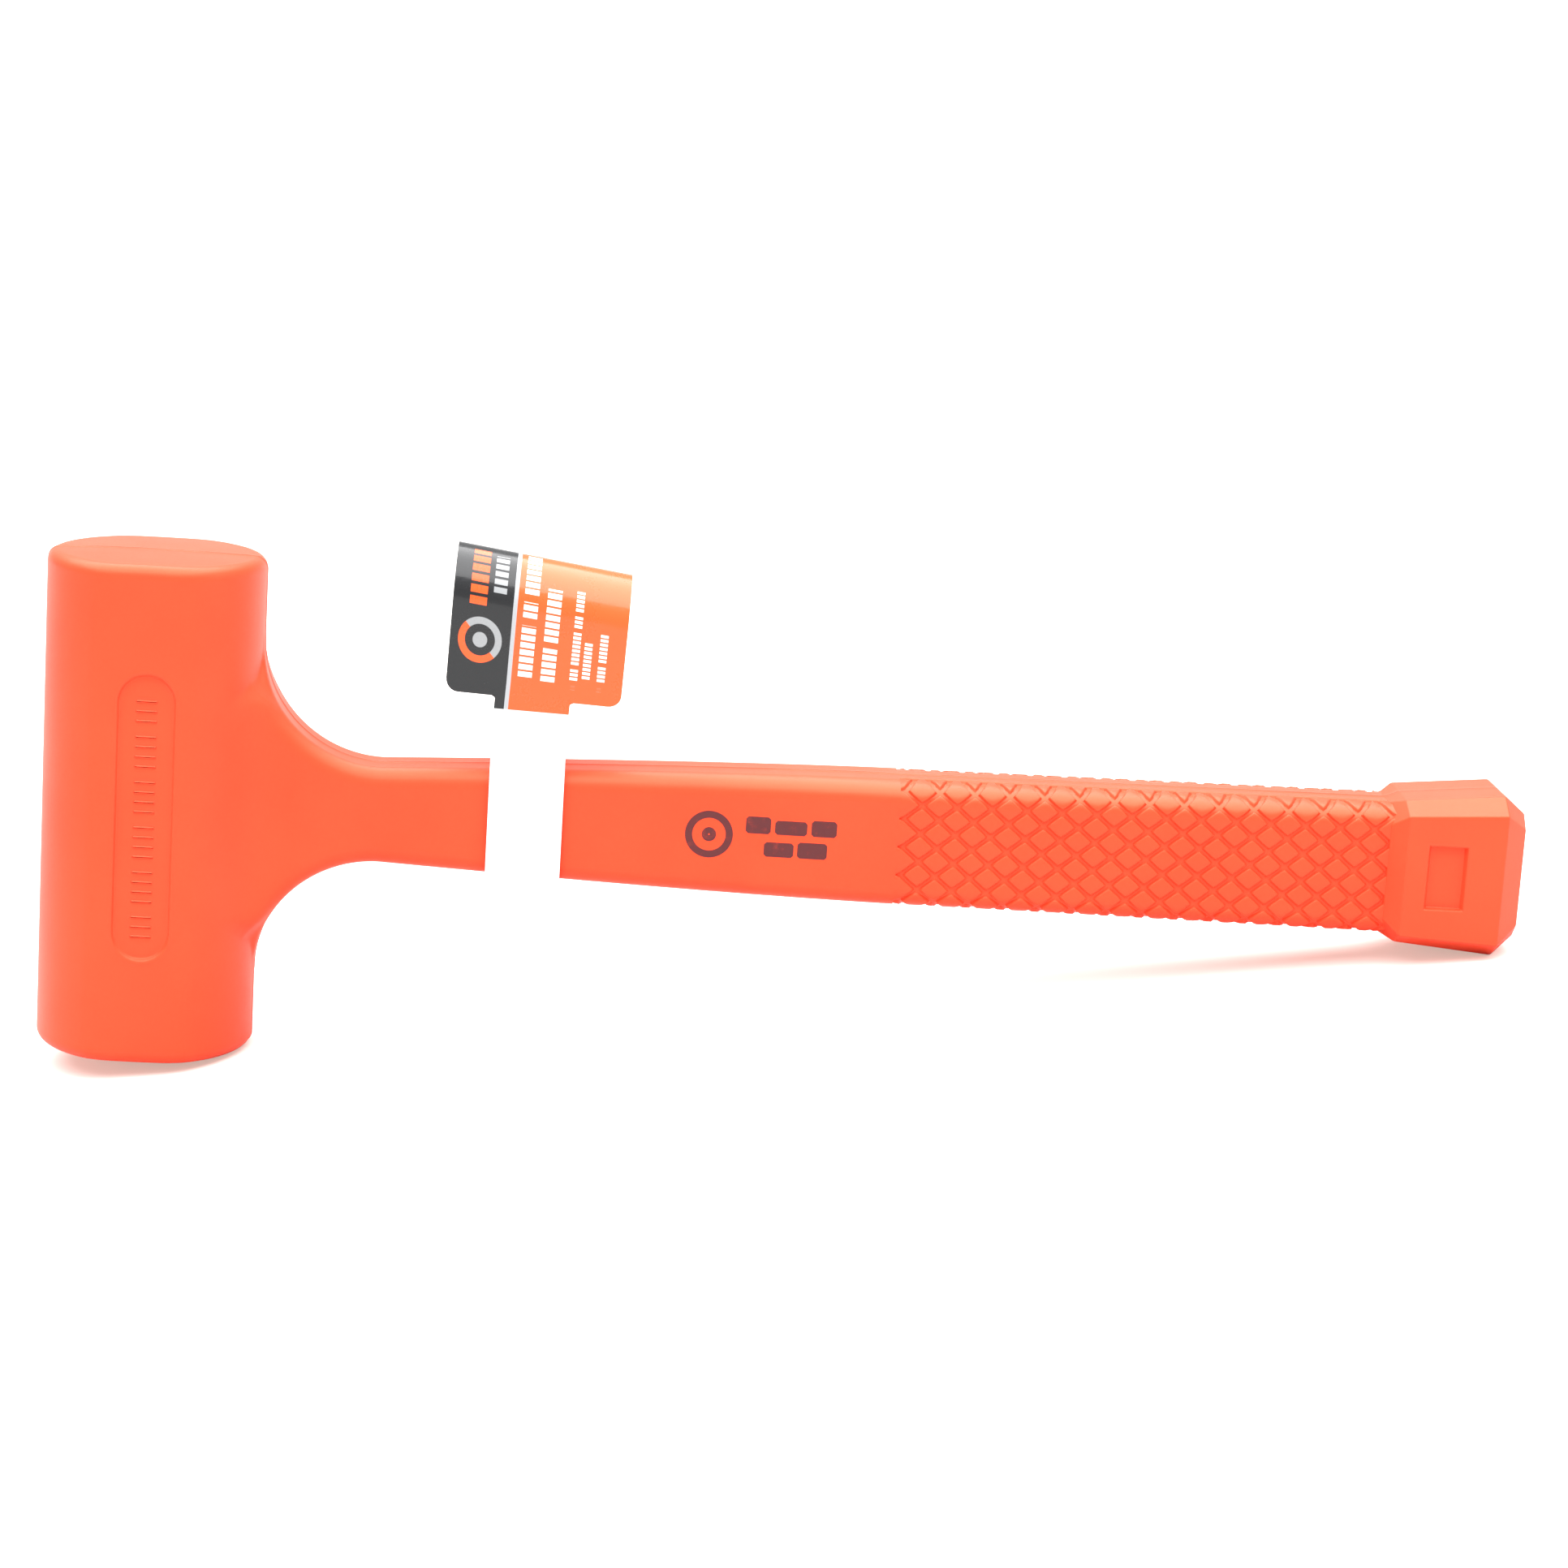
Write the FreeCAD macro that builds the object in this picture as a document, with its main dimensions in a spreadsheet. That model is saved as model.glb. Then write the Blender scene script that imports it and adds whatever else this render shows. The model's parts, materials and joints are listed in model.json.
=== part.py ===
import FreeCAD, Part
import math
import os
import Sketcher

# Dead blow mallet: a urethane casting poured round a welded steel skeleton, loose steel shot in
# the head, and a printed hang tag looped round the neck.
#
# Frame: the origin is the centre of the lower striking face. +Z runs up the head to the upper
# striking face, +X runs along the handle to its butt, and XZ is the mould's parting plane.

SHEET_NAME = "Sizes"
ARC_CENTRE = 3  # Sketcher's number for the centre of an arc

# Every driving dimension, in millimetres, as an alias, its value and what it sets.
DIMENSIONS = [
    # Head
    ("head_length", 105.0, "from striking face to striking face"),
    ("head_radius", 22.5, "round sides of the head"),
    ("flat_cut", 1.7, "how far each flat side cuts into the round"),
    ("rim_round", 2.5, "rounding of the striking faces' rims"),
    ("panel_length", 60.0, "sunk name panel on each flat, along the head"),
    ("panel_radius", 6.0, "half the panel's width and its end radius"),
    ("panel_depth", 0.8, "depth of the panel"),
    # Neck and handle, as octagons along the handle
    ("flare_radius", 22.5, "concave flares between head and neck"),
    ("neck_high", 10.1, "neck, half height"),
    ("neck_thick", 8.3, "neck, half thickness"),
    ("waist_place", 88.0, "waist section, distance from the head's axis"),
    ("waist_high", 11.85, "waist, half height"),
    ("waist_thick", 8.9, "waist, half thickness"),
    ("grip_start", 157.0, "where the grip begins"),
    ("grip_end", 259.5, "where the grip meets the pommel"),
    ("grip_high", 13.4, "grip start, half height"),
    ("grip_thick", 10.6, "grip start, half thickness"),
    ("heel_high", 14.0, "grip end, half height"),
    ("heel_thick", 10.8, "grip end, half thickness"),
    ("edge_flat", 5.0, "half width of the narrow top and bottom flats"),
    ("edge_drop", 3.8, "height of the chamfer beside each flat"),
    # Pommel
    ("shoulder_length", 3.2, "slope from the grip up to the pommel"),
    ("shoulder_high", 15.3, "pommel at its shoulder, half height"),
    ("pommel_length", 20.6, "pommel between its two slopes"),
    ("pommel_high", 17.2, "pommel at its widest, half height"),
    ("pommel_thick", 14.2, "pommel, half thickness"),
    ("pommel_flat", 9.0, "half width of the pommel's top flat"),
    ("pommel_drop", 3.2, "height of the chamfer beside that flat"),
    ("butt_length", 4.9, "slope from the widest section to the butt"),
    ("butt_inset", 4.0, "how far the butt stands inside the pommel's edges, in height"),
    ("butt_tuck", 4.8, "how far the butt stands inside the pommel's edges, in thickness"),
    ("socket_start", 4.4, "sunk rectangle on the pommel, from the shoulder"),
    ("socket_length", 8.3, "its length along the handle"),
    ("socket_high", 6.8, "its half height"),
    ("socket_depth", 1.5, "its depth"),
    # Canister in the head
    ("side_cover", 4.8, "urethane between each flat side and the canister"),
    ("can_wall", 1.75, "wall of the canister's tube"),
    ("face_cover", 11.5, "urethane between each striking face and the canister"),
    ("plug_flange", 2.0, "flange of an end plug, over the tube's end"),
    ("plug_spigot", 3.0, "spigot of an end plug, inside the tube"),
    ("plug_fit", 0.05, "radial gap between spigot and tube"),
    ("bead_high", 2.4, "weld bead round a plug, along the canister"),
    ("bead_proud", 1.0, "how far that bead stands out of the canister"),
    # Rod in the handle
    ("rod_radius", 4.0, "reinforcing rod"),
    ("rod_margin", 12.0, "urethane between the rod's end and the pommel's widest section"),
    ("rod_chamfer", 0.8, "chamfer on the rod's end"),
    ("groove_depth", 0.8, "anchor grooves near the rod's end"),
    ("groove_width", 2.5, "width of a groove and of the land after it"),
    ("fillet_radius", 7.5, "weld that joins the rod to the canister, at the canister"),
    ("fillet_length", 5.0, "that weld along the rod, from the canister's outside"),
    # Shot
    ("ball_radius", 3.0, "one ball"),
    ("ball_gap", 0.12, "space between neighbouring balls"),
    ("shot_travel", 22.0, "free space above the settled shot"),
    # Hang tag
    ("tag_place", 78.2, "middle of the tag along the handle"),
    ("sheet_thick", 0.4, "printed sheet"),
    ("card_width", 36.0, "card, along the handle"),
    ("strap_width", 15.6, "strap, along the handle"),
    ("strap_gap", 0.75, "between the handle and the strap, front and back"),
    ("strap_drop", 1.3, "between the handle and the strap, underneath"),
    ("strap_round", 4.0, "inner radius where the strap turns under the handle"),
    ("card_start", 27.0, "from the handle's axis up to the card's lower edge"),
    ("card_round", 2.5, "radius of the card's lower corners"),
    ("card_rise", 28.0, "from the card's lower edge to the top of its arch"),
    ("lap_low", 2.5, "outer strap's end behind the handle, below the handle's axis"),
    ("lap_high", 11.5, "inner strap's end behind the handle, above the handle's axis"),
    ("tape_thick", 0.25, "double-sided tape between the two strap ends"),
    ("tape_margin", 1.0, "sheet left bare round the tape"),
]

NODES = [
    "jacket",
    "canister_tube",
    "canister_cap_upper",
    "canister_cap_lower",
    "cap_weld_upper",
    "cap_weld_lower",
    "handle_rod",
    "rod_weld",
    "steel_shot",
    "hang_tag",
    "hang_tag_tape",
]


class Size:
    """A length that carries its number and the spreadsheet expression that gives it."""

    def __init__(self, text, number):
        self.text = text
        self.number = number

    def joined(self, sign, other, number):
        return Size(f"({self.text} {sign} {as_size(other).text})", number)

    def __add__(self, other):
        return self.joined("+", other, self.number + as_size(other).number)

    def __sub__(self, other):
        return self.joined("-", other, self.number - as_size(other).number)

    def __mul__(self, other):
        return self.joined("*", other, self.number * as_size(other).number)

    def __truediv__(self, other):
        return self.joined("/", other, self.number / as_size(other).number)

    def __neg__(self):
        return Size(f"(0 - {self.text})", -self.number)

    def root(self):
        return Size(f"sqrt({self.text})", math.sqrt(self.number))


def as_size(value):
    return value if isinstance(value, Size) else Size(str(value), float(value))


class Sheet:
    """The spreadsheet of driving dimensions; each alias is also an attribute, as a Size."""

    def __init__(self, document):
        self.table = document.addObject("Spreadsheet::Sheet", SHEET_NAME)
        for row, (alias, number, note) in enumerate(DIMENSIONS, start=1):
            self.table.set(f"A{row}", note)
            self.table.set(f"B{row}", str(number))
            self.table.setAlias(f"B{row}", alias)
            setattr(self, alias, Size(f"{SHEET_NAME}.{alias}", number))
        document.recompute()


doc = FreeCAD.newDocument("dead_blow_mallet")
dims = Sheet(doc)


# ---------------------------------------------------------------------------------------------
# Helpers


def plane_of(body, role):
    return next(item for item in body.Origin.OriginFeatures if item.Role == role)


def line_to(u, v):
    return ("line", as_size(u), as_size(v))


def arc_to(u, v, radius, centre_u, centre_v):
    """Less than half a circle, held by its radius."""
    return ("arc", as_size(u), as_size(v), as_size(radius), as_size(centre_u), as_size(centre_v), 0)


def half_circle_to(u, v, centre_u, centre_v, way):
    """Half a circle, held by its centre's height; way is 1 over the top, or -1 below."""
    return ("arc", as_size(u), as_size(v), None, as_size(centre_u), as_size(centre_v), way)


def arc_between(start, end, centre, way):
    """The arc about centre, drawn anticlockwise, and whether that runs from start to end."""
    first = math.atan2(start[1] - centre[1], start[0] - centre[0])
    last = math.atan2(end[1] - centre[1], end[0] - centre[0])
    sweep = (last - first) % (2 * math.pi)
    forward = (start[0] > end[0]) == (way > 0) if way else sweep < math.pi
    circle = Part.Circle(FreeCAD.Vector(*centre, 0), FreeCAD.Vector(0, 0, 1), math.dist(start, centre))
    low, high = (first, last) if forward else (last, first)
    if high < low:
        high += 2 * math.pi
    return Part.ArcOfCircle(circle, low, high), forward


def hold(sketch, name, value, kind, *target):
    """Add a dimension to the sketch and bind it to the sheet."""
    held = sketch.addConstraint(Sketcher.Constraint(kind, *target, value.number))
    sketch.renameConstraint(held, name)
    sketch.setExpression(f"Constraints.{name}", value.text)


def outline(body, name, role, offset, steps):
    """A closed sketch whose corners and radii are bound to the sheet.

    Each step draws to its own corner from the step before it; the first draws from the last.
    """
    sketch = body.newObject("Sketcher::SketchObject", name)
    sketch.AttachmentSupport = [(plane_of(body, role), "")]
    sketch.MapMode = "FlatFace"
    sketch.setExpression("AttachmentOffset.Base.z", as_size(offset).text)
    ends = []
    previous = steps[-1]
    for step in steps:
        start = (previous[1].number, previous[2].number)
        end = (step[1].number, step[2].number)
        if step[0] == "line":
            curve = Part.LineSegment(FreeCAD.Vector(*start, 0), FreeCAD.Vector(*end, 0))
            forward = True
        else:
            curve, forward = arc_between(start, end, (step[4].number, step[5].number), step[6])
        index = sketch.addGeometry(curve, False)
        ends.append((index, 1 if forward else 2, 2 if forward else 1))
        previous = step
    for place, step in enumerate(steps):
        index, _, last = ends[place]
        following, first, _ = ends[(place + 1) % len(steps)]
        sketch.addConstraint(Sketcher.Constraint("Coincident", index, last, following, first))
        hold(sketch, f"Across{place}", step[1], "DistanceX", index, last)
        hold(sketch, f"Up{place}", step[2], "DistanceY", index, last)
        if step[0] == "arc" and step[6]:
            hold(sketch, f"Centre{place}", step[5], "DistanceY", index, ARC_CENTRE)
        elif step[0] == "arc":
            hold(sketch, f"Radius{place}", step[3], "Radius", index)
    return sketch


def rectangle(u_low, u_high, v_low, v_high):
    return [line_to(u_high, v_low), line_to(u_high, v_high), line_to(u_low, v_high), line_to(u_low, v_low)]


def octagon(high, thick, flat, drop, middle):
    """Octagon about (0, middle): flats of half width `flat` on top, sides cut down by `drop`."""
    side = high - drop
    corners = [(flat, -high), (thick, -side), (thick, side), (flat, high)]
    corners += [(-flat, high), (-thick, side), (-thick, -side), (-flat, -high)]
    return [line_to(u, middle + v) for u, v in corners]


def pad(body, name, sketch, length, symmetric=False, reversed_way=False):
    feature = body.newObject("PartDesign::Pad", name)
    feature.Profile = sketch
    feature.SideType = "Symmetric" if symmetric else "One side"
    feature.Reversed = reversed_way
    feature.setExpression("Length", as_size(length).text)
    return feature


def pocket(body, name, sketch, length, reversed_way=False):
    """Cut the sketch into the solid, and fail if nothing was cut."""
    doc.recompute()
    before = body.Shape.Volume
    feature = body.newObject("PartDesign::Pocket", name)
    feature.Profile = sketch
    feature.Reversed = reversed_way
    feature.setExpression("Length", as_size(length).text)
    doc.recompute()
    if body.Shape.Volume > before - 1e-3:
        raise RuntimeError(f"{name} cuts nothing")
    return feature


def revolved(body, name, sketch, axis):
    feature = body.newObject("PartDesign::Revolution", name)
    feature.Profile = sketch
    feature.ReferenceAxis = (sketch, [axis])
    feature.Angle = 360
    return feature


def new_body(name, label=None):
    body = doc.addObject("PartDesign::Body", name)
    body.Label = label or name
    return body


def boolean(kind, name, base, tool):
    result = doc.addObject(kind, name)
    result.Base = base
    result.Tool = tool
    result.Label = name
    return result


def cylinder(name, radius, height, base, along_x=False):
    solid = doc.addObject("Part::Cylinder", name)
    if along_x:
        solid.Placement = FreeCAD.Placement(FreeCAD.Vector(), FreeCAD.Rotation(FreeCAD.Vector(0, 1, 0), 90))
    solid.setExpression("Radius", as_size(radius).text)
    solid.setExpression("Height", as_size(height).text)
    for axis, place in zip("xyz", base):
        solid.setExpression(f"Placement.Base.{axis}", as_size(place).text)
    return solid


# ---------------------------------------------------------------------------------------------
# Places worked out from the driving dimensions

axis_height = dims.head_length / 2
head_flat = dims.head_radius - dims.flat_cut
neck_place = dims.head_radius + dims.flare_radius
shoulder_place = dims.grip_end + dims.shoulder_length
pommel_place = shoulder_place + dims.pommel_length
butt_place = pommel_place + dims.butt_length
can_bottom = dims.face_cover
can_top = dims.head_length - dims.face_cover
can_radius = head_flat - dims.side_cover
bore_radius = can_radius - dims.can_wall
card_low = axis_height + dims.card_start
lap_low = axis_height - dims.lap_low
lap_high = axis_height + dims.lap_high


# ---------------------------------------------------------------------------------------------
# Casting


def head_blank(body):
    """The round head with its two flats, and its striking faces' rims rounded."""
    half_width = (dims.head_radius * dims.head_radius - head_flat * head_flat).root()
    flat = head_flat
    steps = [
        arc_to(half_width, flat, dims.head_radius, 0, 0),
        line_to(-half_width, flat),
        arc_to(-half_width, -flat, dims.head_radius, 0, 0),
        line_to(half_width, -flat),
    ]
    sketch = outline(body, "head_outline", "XY_Plane", 0, steps)
    blank = pad(body, "head_blank", sketch, dims.head_length)
    doc.recompute()
    rims = []
    for number, edge in enumerate(blank.Shape.Edges, start=1):
        heights = [vertex.Z for vertex in edge.Vertexes]
        if max(heights) - min(heights) < 1e-6:
            rims.append(f"Edge{number}")
    rounding = body.newObject("PartDesign::Fillet", "rim_rounding")
    rounding.Base = (blank, rims)
    rounding.setExpression("Radius", dims.rim_round.text)
    doc.recompute()


def flare_web(body):
    """The web between head and handle, with its two concave flares."""
    low = axis_height - dims.neck_high
    high = axis_height + dims.neck_high
    root = dims.head_radius
    reach = dims.flare_radius
    steps = [
        line_to(0, low - reach),
        line_to(root, low - reach),
        arc_to(neck_place, low, reach, neck_place, low - reach),
        line_to(neck_place, high),
        arc_to(root, high + reach, reach, neck_place, high + reach),
        line_to(0, high + reach),
    ]
    sketch = outline(body, "flare_outline", "XZ_Plane", 0, steps)
    pad(body, "flare_web", sketch, dims.neck_thick * 2, symmetric=True)
    doc.recompute()


def handle_sections():
    """Each station along the handle: place, half height, half thickness, top flat and drop."""
    flat = dims.edge_flat
    drop = dims.edge_drop
    return [
        ("neck", neck_place, dims.neck_high, dims.neck_thick, flat, drop),
        ("waist", dims.waist_place, dims.waist_high, dims.waist_thick, flat, drop),
        ("grip", dims.grip_start, dims.grip_high, dims.grip_thick, flat, drop),
        ("heel", dims.grip_end, dims.heel_high, dims.heel_thick, flat, drop),
        ("shoulder", shoulder_place, dims.shoulder_high, dims.pommel_thick,
         dims.pommel_flat, dims.pommel_drop),
        ("pommel", pommel_place, dims.pommel_high, dims.pommel_thick,
         dims.pommel_flat, dims.pommel_drop),
        ("butt", butt_place, dims.pommel_high - dims.butt_inset,
         dims.pommel_thick - dims.butt_tuck, dims.pommel_flat - dims.butt_inset / 2,
         dims.pommel_drop),
    ]


def handle_blank(body):
    sketches = []
    for name, place, high, thick, flat, drop in handle_sections():
        steps = octagon(high, thick, flat, drop, axis_height)
        sketches.append(outline(body, f"{name}_section", "YZ_Plane", place, steps))
    handle = body.newObject("PartDesign::AdditiveLoft", "handle_blank")
    handle.Profile = sketches[0]
    handle.Sections = sketches[1:]
    handle.Ruled = True
    doc.recompute()


def sunk_marks(body):
    """The name panel on each flat of the head, and the rectangle on each side of the pommel."""
    panel_end = dims.panel_length / 2 - dims.panel_radius
    panel_low = axis_height - panel_end
    panel_high = axis_height + panel_end
    round_end = dims.panel_radius
    panel = [
        line_to(round_end, panel_high),
        half_circle_to(-round_end, panel_high, 0, panel_high, 1),
        line_to(-round_end, panel_low),
        half_circle_to(round_end, panel_low, 0, panel_low, -1),
    ]
    start = shoulder_place + dims.socket_start
    socket = rectangle(start, start + dims.socket_length,
                       axis_height - dims.socket_high, axis_height + dims.socket_high)
    for side, sign in (("front", 1), ("back", -1)):
        away = sign < 0
        sketch = outline(body, f"panel_{side}_outline", "XZ_Plane", head_flat * sign, panel)
        pocket(body, f"panel_{side}", sketch, dims.panel_depth, away)
        sketch = outline(body, f"socket_{side}_outline", "XZ_Plane", dims.pommel_thick * sign, socket)
        pocket(body, f"socket_{side}", sketch, dims.socket_depth, away)


def casting():
    body = new_body("casting")
    head_blank(body)
    flare_web(body)
    handle_blank(body)
    sunk_marks(body)
    return body


# ---------------------------------------------------------------------------------------------
# Steel skeleton


def canister_tube():
    body = new_body("canister_tube")
    low = can_bottom + dims.plug_flange
    high = can_top - dims.plug_flange
    steps = rectangle(bore_radius, can_radius, low, high)
    sketch = outline(body, "tube_profile", "XZ_Plane", 0, steps)
    revolved(body, "tube_wall", sketch, "V_Axis")
    return body


def end_plug(label, outer, way):
    """A plug with its flange over the tube's end at height `outer`; `way` points inwards."""
    body = new_body(label)
    seat = outer + dims.plug_flange * way
    tip = seat + dims.plug_spigot * way
    spigot = bore_radius - dims.plug_fit
    steps = [
        line_to(0, outer),
        line_to(can_radius, outer),
        line_to(can_radius, seat),
        line_to(spigot, seat),
        line_to(spigot, tip),
        line_to(0, tip),
    ]
    sketch = outline(body, f"{label}_profile", "XZ_Plane", 0, steps)
    revolved(body, f"{label}_turned", sketch, "V_Axis")
    return body


def plug_weld(label, seam):
    """The ring of weld over the seam between a plug's flange and the tube."""
    body = new_body(label)
    half = dims.bead_high / 2
    proud = dims.bead_proud
    radius = (half * half + proud * proud) / (proud * 2)
    edge = can_radius
    steps = [
        line_to(edge, seam - half),
        arc_to(edge, seam + half, radius, edge + proud - radius, seam),
    ]
    sketch = outline(body, f"{label}_profile", "XZ_Plane", 0, steps)
    revolved(body, f"{label}_bead", sketch, "V_Axis")
    return body


def rod_bar():
    """The rod from the head's axis to the pommel, with three anchor grooves near its end."""
    body = new_body("rod_bar")
    end = pommel_place - dims.rod_margin
    full = dims.rod_radius
    waist = full - dims.groove_depth
    step = dims.groove_width
    steps = [line_to(0, full)]
    groove_count = 3
    for groove in range(groove_count):
        start = end - step * (2 * (groove_count - groove))
        steps += [line_to(start, full), line_to(start, waist),
                  line_to(start + step, waist), line_to(start + step, full)]
    steps += [line_to(end - dims.rod_chamfer, full), line_to(end, full - dims.rod_chamfer),
              line_to(end, 0), line_to(0, 0)]
    sketch = outline(body, "rod_profile", "XZ_Plane", 0, steps)
    revolved(body, "rod_turned", sketch, "H_Axis")
    body.setExpression("Placement.Base.z", axis_height.text)
    return body


def weld_cone():
    """The fillet of weld round the rod, before the canister and the rod are cut out of it."""
    cone = doc.addObject("Part::Cone", "weld_cone")
    cone.Placement = FreeCAD.Placement(FreeCAD.Vector(), FreeCAD.Rotation(FreeCAD.Vector(0, 1, 0), 90))
    inside = (can_radius * can_radius - dims.fillet_radius * dims.fillet_radius).root()
    cone.setExpression("Radius1", dims.fillet_radius.text)
    cone.setExpression("Radius2", (dims.rod_radius + dims.bead_proud / 2).text)
    cone.setExpression("Height", (can_radius + dims.fillet_length - inside).text)
    cone.setExpression("Placement.Base.x", inside.text)
    cone.setExpression("Placement.Base.z", axis_height.text)
    return cone


def skeleton():
    """Tube, plugs, welds and rod; returns what the casting is poured round."""
    canister_tube()
    end_plug("canister_cap_lower", can_bottom, 1)
    end_plug("canister_cap_upper", can_top, -1)
    low_bead = plug_weld("cap_weld_lower", can_bottom + dims.plug_flange)
    high_bead = plug_weld("cap_weld_upper", can_top - dims.plug_flange)
    envelope = cylinder("can_envelope", can_radius, can_top - can_bottom, (0, 0, can_bottom))
    bar = rod_bar()
    rod = boolean("Part::Cut", "handle_rod", bar, envelope)
    clear_of_can = boolean("Part::Cut", "weld_clear_of_can", weld_cone(), envelope)
    bore = cylinder("weld_bore", dims.rod_radius, neck_place, (0, 0, axis_height), along_x=True)
    fillet = boolean("Part::Cut", "rod_weld", clear_of_can, bore)
    core = doc.addObject("Part::MultiFuse", "poured_round")
    core.Shapes = [envelope, low_bead, high_bead, rod, fillet]
    return core


# ---------------------------------------------------------------------------------------------
# Shot


def shot_layer(shifted, pitch, reach):
    """Centres of one close-packed layer; a shifted layer sits in the hollows of the other."""
    row_step = pitch * math.sqrt(3) / 2
    shift = row_step / 3 * 2 if shifted else 0.0
    count = math.ceil(reach / row_step) + 1
    centres = []
    for row in range(-count, count + 1):
        for column in range(-2 * count, 2 * count + 1):
            across = (column + 0.5 * (row % 2)) * pitch
            along = row * row_step + shift
            if math.hypot(across, along) <= reach:
                centres.append((across, along))
    return centres


def steel_shot():
    """Close-packed balls that fill the canister up to the free space above them."""
    radius = dims.ball_radius.number
    gap = dims.ball_gap.number
    pitch = 2 * radius + gap
    reach = bore_radius.number - radius - 2 * gap
    floor = (can_bottom + dims.plug_flange + dims.plug_spigot).number
    roof = (can_top - dims.plug_flange - dims.plug_spigot).number - dims.shot_travel.number
    layer_step = pitch * math.sqrt(2 / 3)
    balls = []
    height = floor + radius + gap
    layer = 0
    while height + radius <= roof:
        for across, along in shot_layer(layer % 2 == 1, pitch, reach):
            balls.append(Part.makeSphere(radius, FreeCAD.Vector(across, along, height)))
        height += layer_step
        layer += 1
    group = doc.addObject("Part::Feature", "steel_shot")
    group.Shape = Part.makeCompound(balls)
    group.Label = "steel_shot"


# ---------------------------------------------------------------------------------------------
# Hang tag


def strap_inside():
    """Half the inner gap of the loop: it clears the handle over the tag's whole travel."""
    taper = (dims.grip_thick - dims.waist_thick) / (dims.grip_start - dims.waist_place)
    edge = dims.tag_place + dims.strap_width / 2 - dims.waist_place
    return dims.waist_thick + taper * edge + dims.strap_gap


def hang_tag():
    """The loop's section, lap included, padded to the card's width and cut down to the strap."""
    body = new_body("hang_tag")
    sheet = dims.sheet_thick
    inner = strap_inside()
    outer = inner + sheet
    lap_inner = outer + dims.tape_thick
    lap_outer = lap_inner + sheet
    under = axis_height - dims.waist_high - dims.strap_drop
    bend = dims.strap_round
    arch = (inner + lap_inner) / 2
    arch_mid = (lap_inner - inner) / 2
    arch_base = card_low + dims.card_rise - sheet - arch
    steps = [
        line_to(inner, lap_high),
        line_to(outer, lap_high),
        line_to(outer, under + bend),
        arc_to(inner - bend, under - sheet, bend + sheet, inner - bend, under + bend),
        line_to(bend - inner, under - sheet),
        arc_to(-outer, under + bend, bend + sheet, bend - inner, under + bend),
        line_to(-outer, arch_base),
        half_circle_to(lap_outer, arch_base, arch_mid, arch_base, 1),
        line_to(lap_outer, lap_low),
        line_to(lap_inner, lap_low),
        line_to(lap_inner, arch_base),
        half_circle_to(-inner, arch_base, arch_mid, arch_base, 1),
        line_to(-inner, under + bend),
        arc_to(bend - inner, under, bend, bend - inner, under + bend),
        line_to(inner - bend, under),
        arc_to(inner, under + bend, bend, inner - bend, under + bend),
    ]
    sketch = outline(body, "loop_section", "YZ_Plane", dims.tag_place, steps)
    pad(body, "loop", sketch, dims.card_width, symmetric=True)
    doc.recompute()
    card_edge = dims.card_width / 2
    strap_edge = dims.strap_width / 2
    spare = sheet * 4
    low = under - spare
    corner = dims.card_round
    for side, sign in (("left", -1), ("right", 1)):
        near = dims.tag_place + strap_edge * sign
        edge = dims.tag_place + card_edge * sign
        far = edge + spare * sign
        steps = [
            line_to(near, low),
            line_to(far, low),
            line_to(far, card_low + corner),
            line_to(edge, card_low + corner),
            arc_to(edge - corner * sign, card_low, corner,
                   edge - corner * sign, card_low + corner),
            line_to(near, card_low),
        ]
        sketch = outline(body, f"die_cut_{side}_outline", "XZ_Plane", lap_outer + spare, steps)
        pocket(body, f"die_cut_{side}", sketch, (lap_outer + spare) * 2)
    return body


def hang_tag_tape():
    body = new_body("hang_tag_tape")
    half = dims.strap_width / 2 - dims.tape_margin
    steps = rectangle(dims.tag_place - half, dims.tag_place + half,
                      lap_low + dims.tape_margin, lap_high - dims.tape_margin)
    behind = strap_inside() + dims.sheet_thick
    sketch = outline(body, "tape_outline", "XZ_Plane", -behind, steps)
    pad(body, "tape", sketch, dims.tape_thick, reversed_way=True)
    return body


# ---------------------------------------------------------------------------------------------
# Build, check and export


def find_node(name):
    return next(item for item in doc.Objects if item.Label == name and hasattr(item, "Shape"))


def check_document():
    for item in doc.Objects:
        if "Invalid" in item.State or "Error" in item.State:
            raise RuntimeError(f"{item.Name} failed to recompute: {item.State}")
    for name in NODES:
        shape = find_node(name).Shape
        if shape.isNull() or not shape.isValid() or not shape.Solids:
            raise RuntimeError(f"{name} has no valid solid")


def export_nodes():
    os.makedirs("parts", exist_ok=True)
    for name in NODES:
        find_node(name).Shape.exportStep(f"parts/{name}.step")


boolean("Part::Cut", "jacket", casting(), skeleton())
steel_shot()
hang_tag()
hang_tag_tape()
doc.recompute()
check_document()
export_nodes()
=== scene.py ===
"""Looks of the dead blow mallet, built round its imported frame.

The cast urethane jacket is one skin on the real tool. Here it is made as a head with its web and
neck, a ribbed grip of separate pads, and a faceted pommel, which meet face to face. The steel
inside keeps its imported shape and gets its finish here, apart from the shot.
Sizes are in millimetres in the classes, and in metres once they are in a mesh.
"""

import json
import logging
import math
from dataclasses import dataclass, field
from enum import Enum
from functools import reduce
from typing import Callable, Iterable, Sequence

import bmesh
import bpy
import numpy as np
from mathutils import Matrix, Vector

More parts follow.
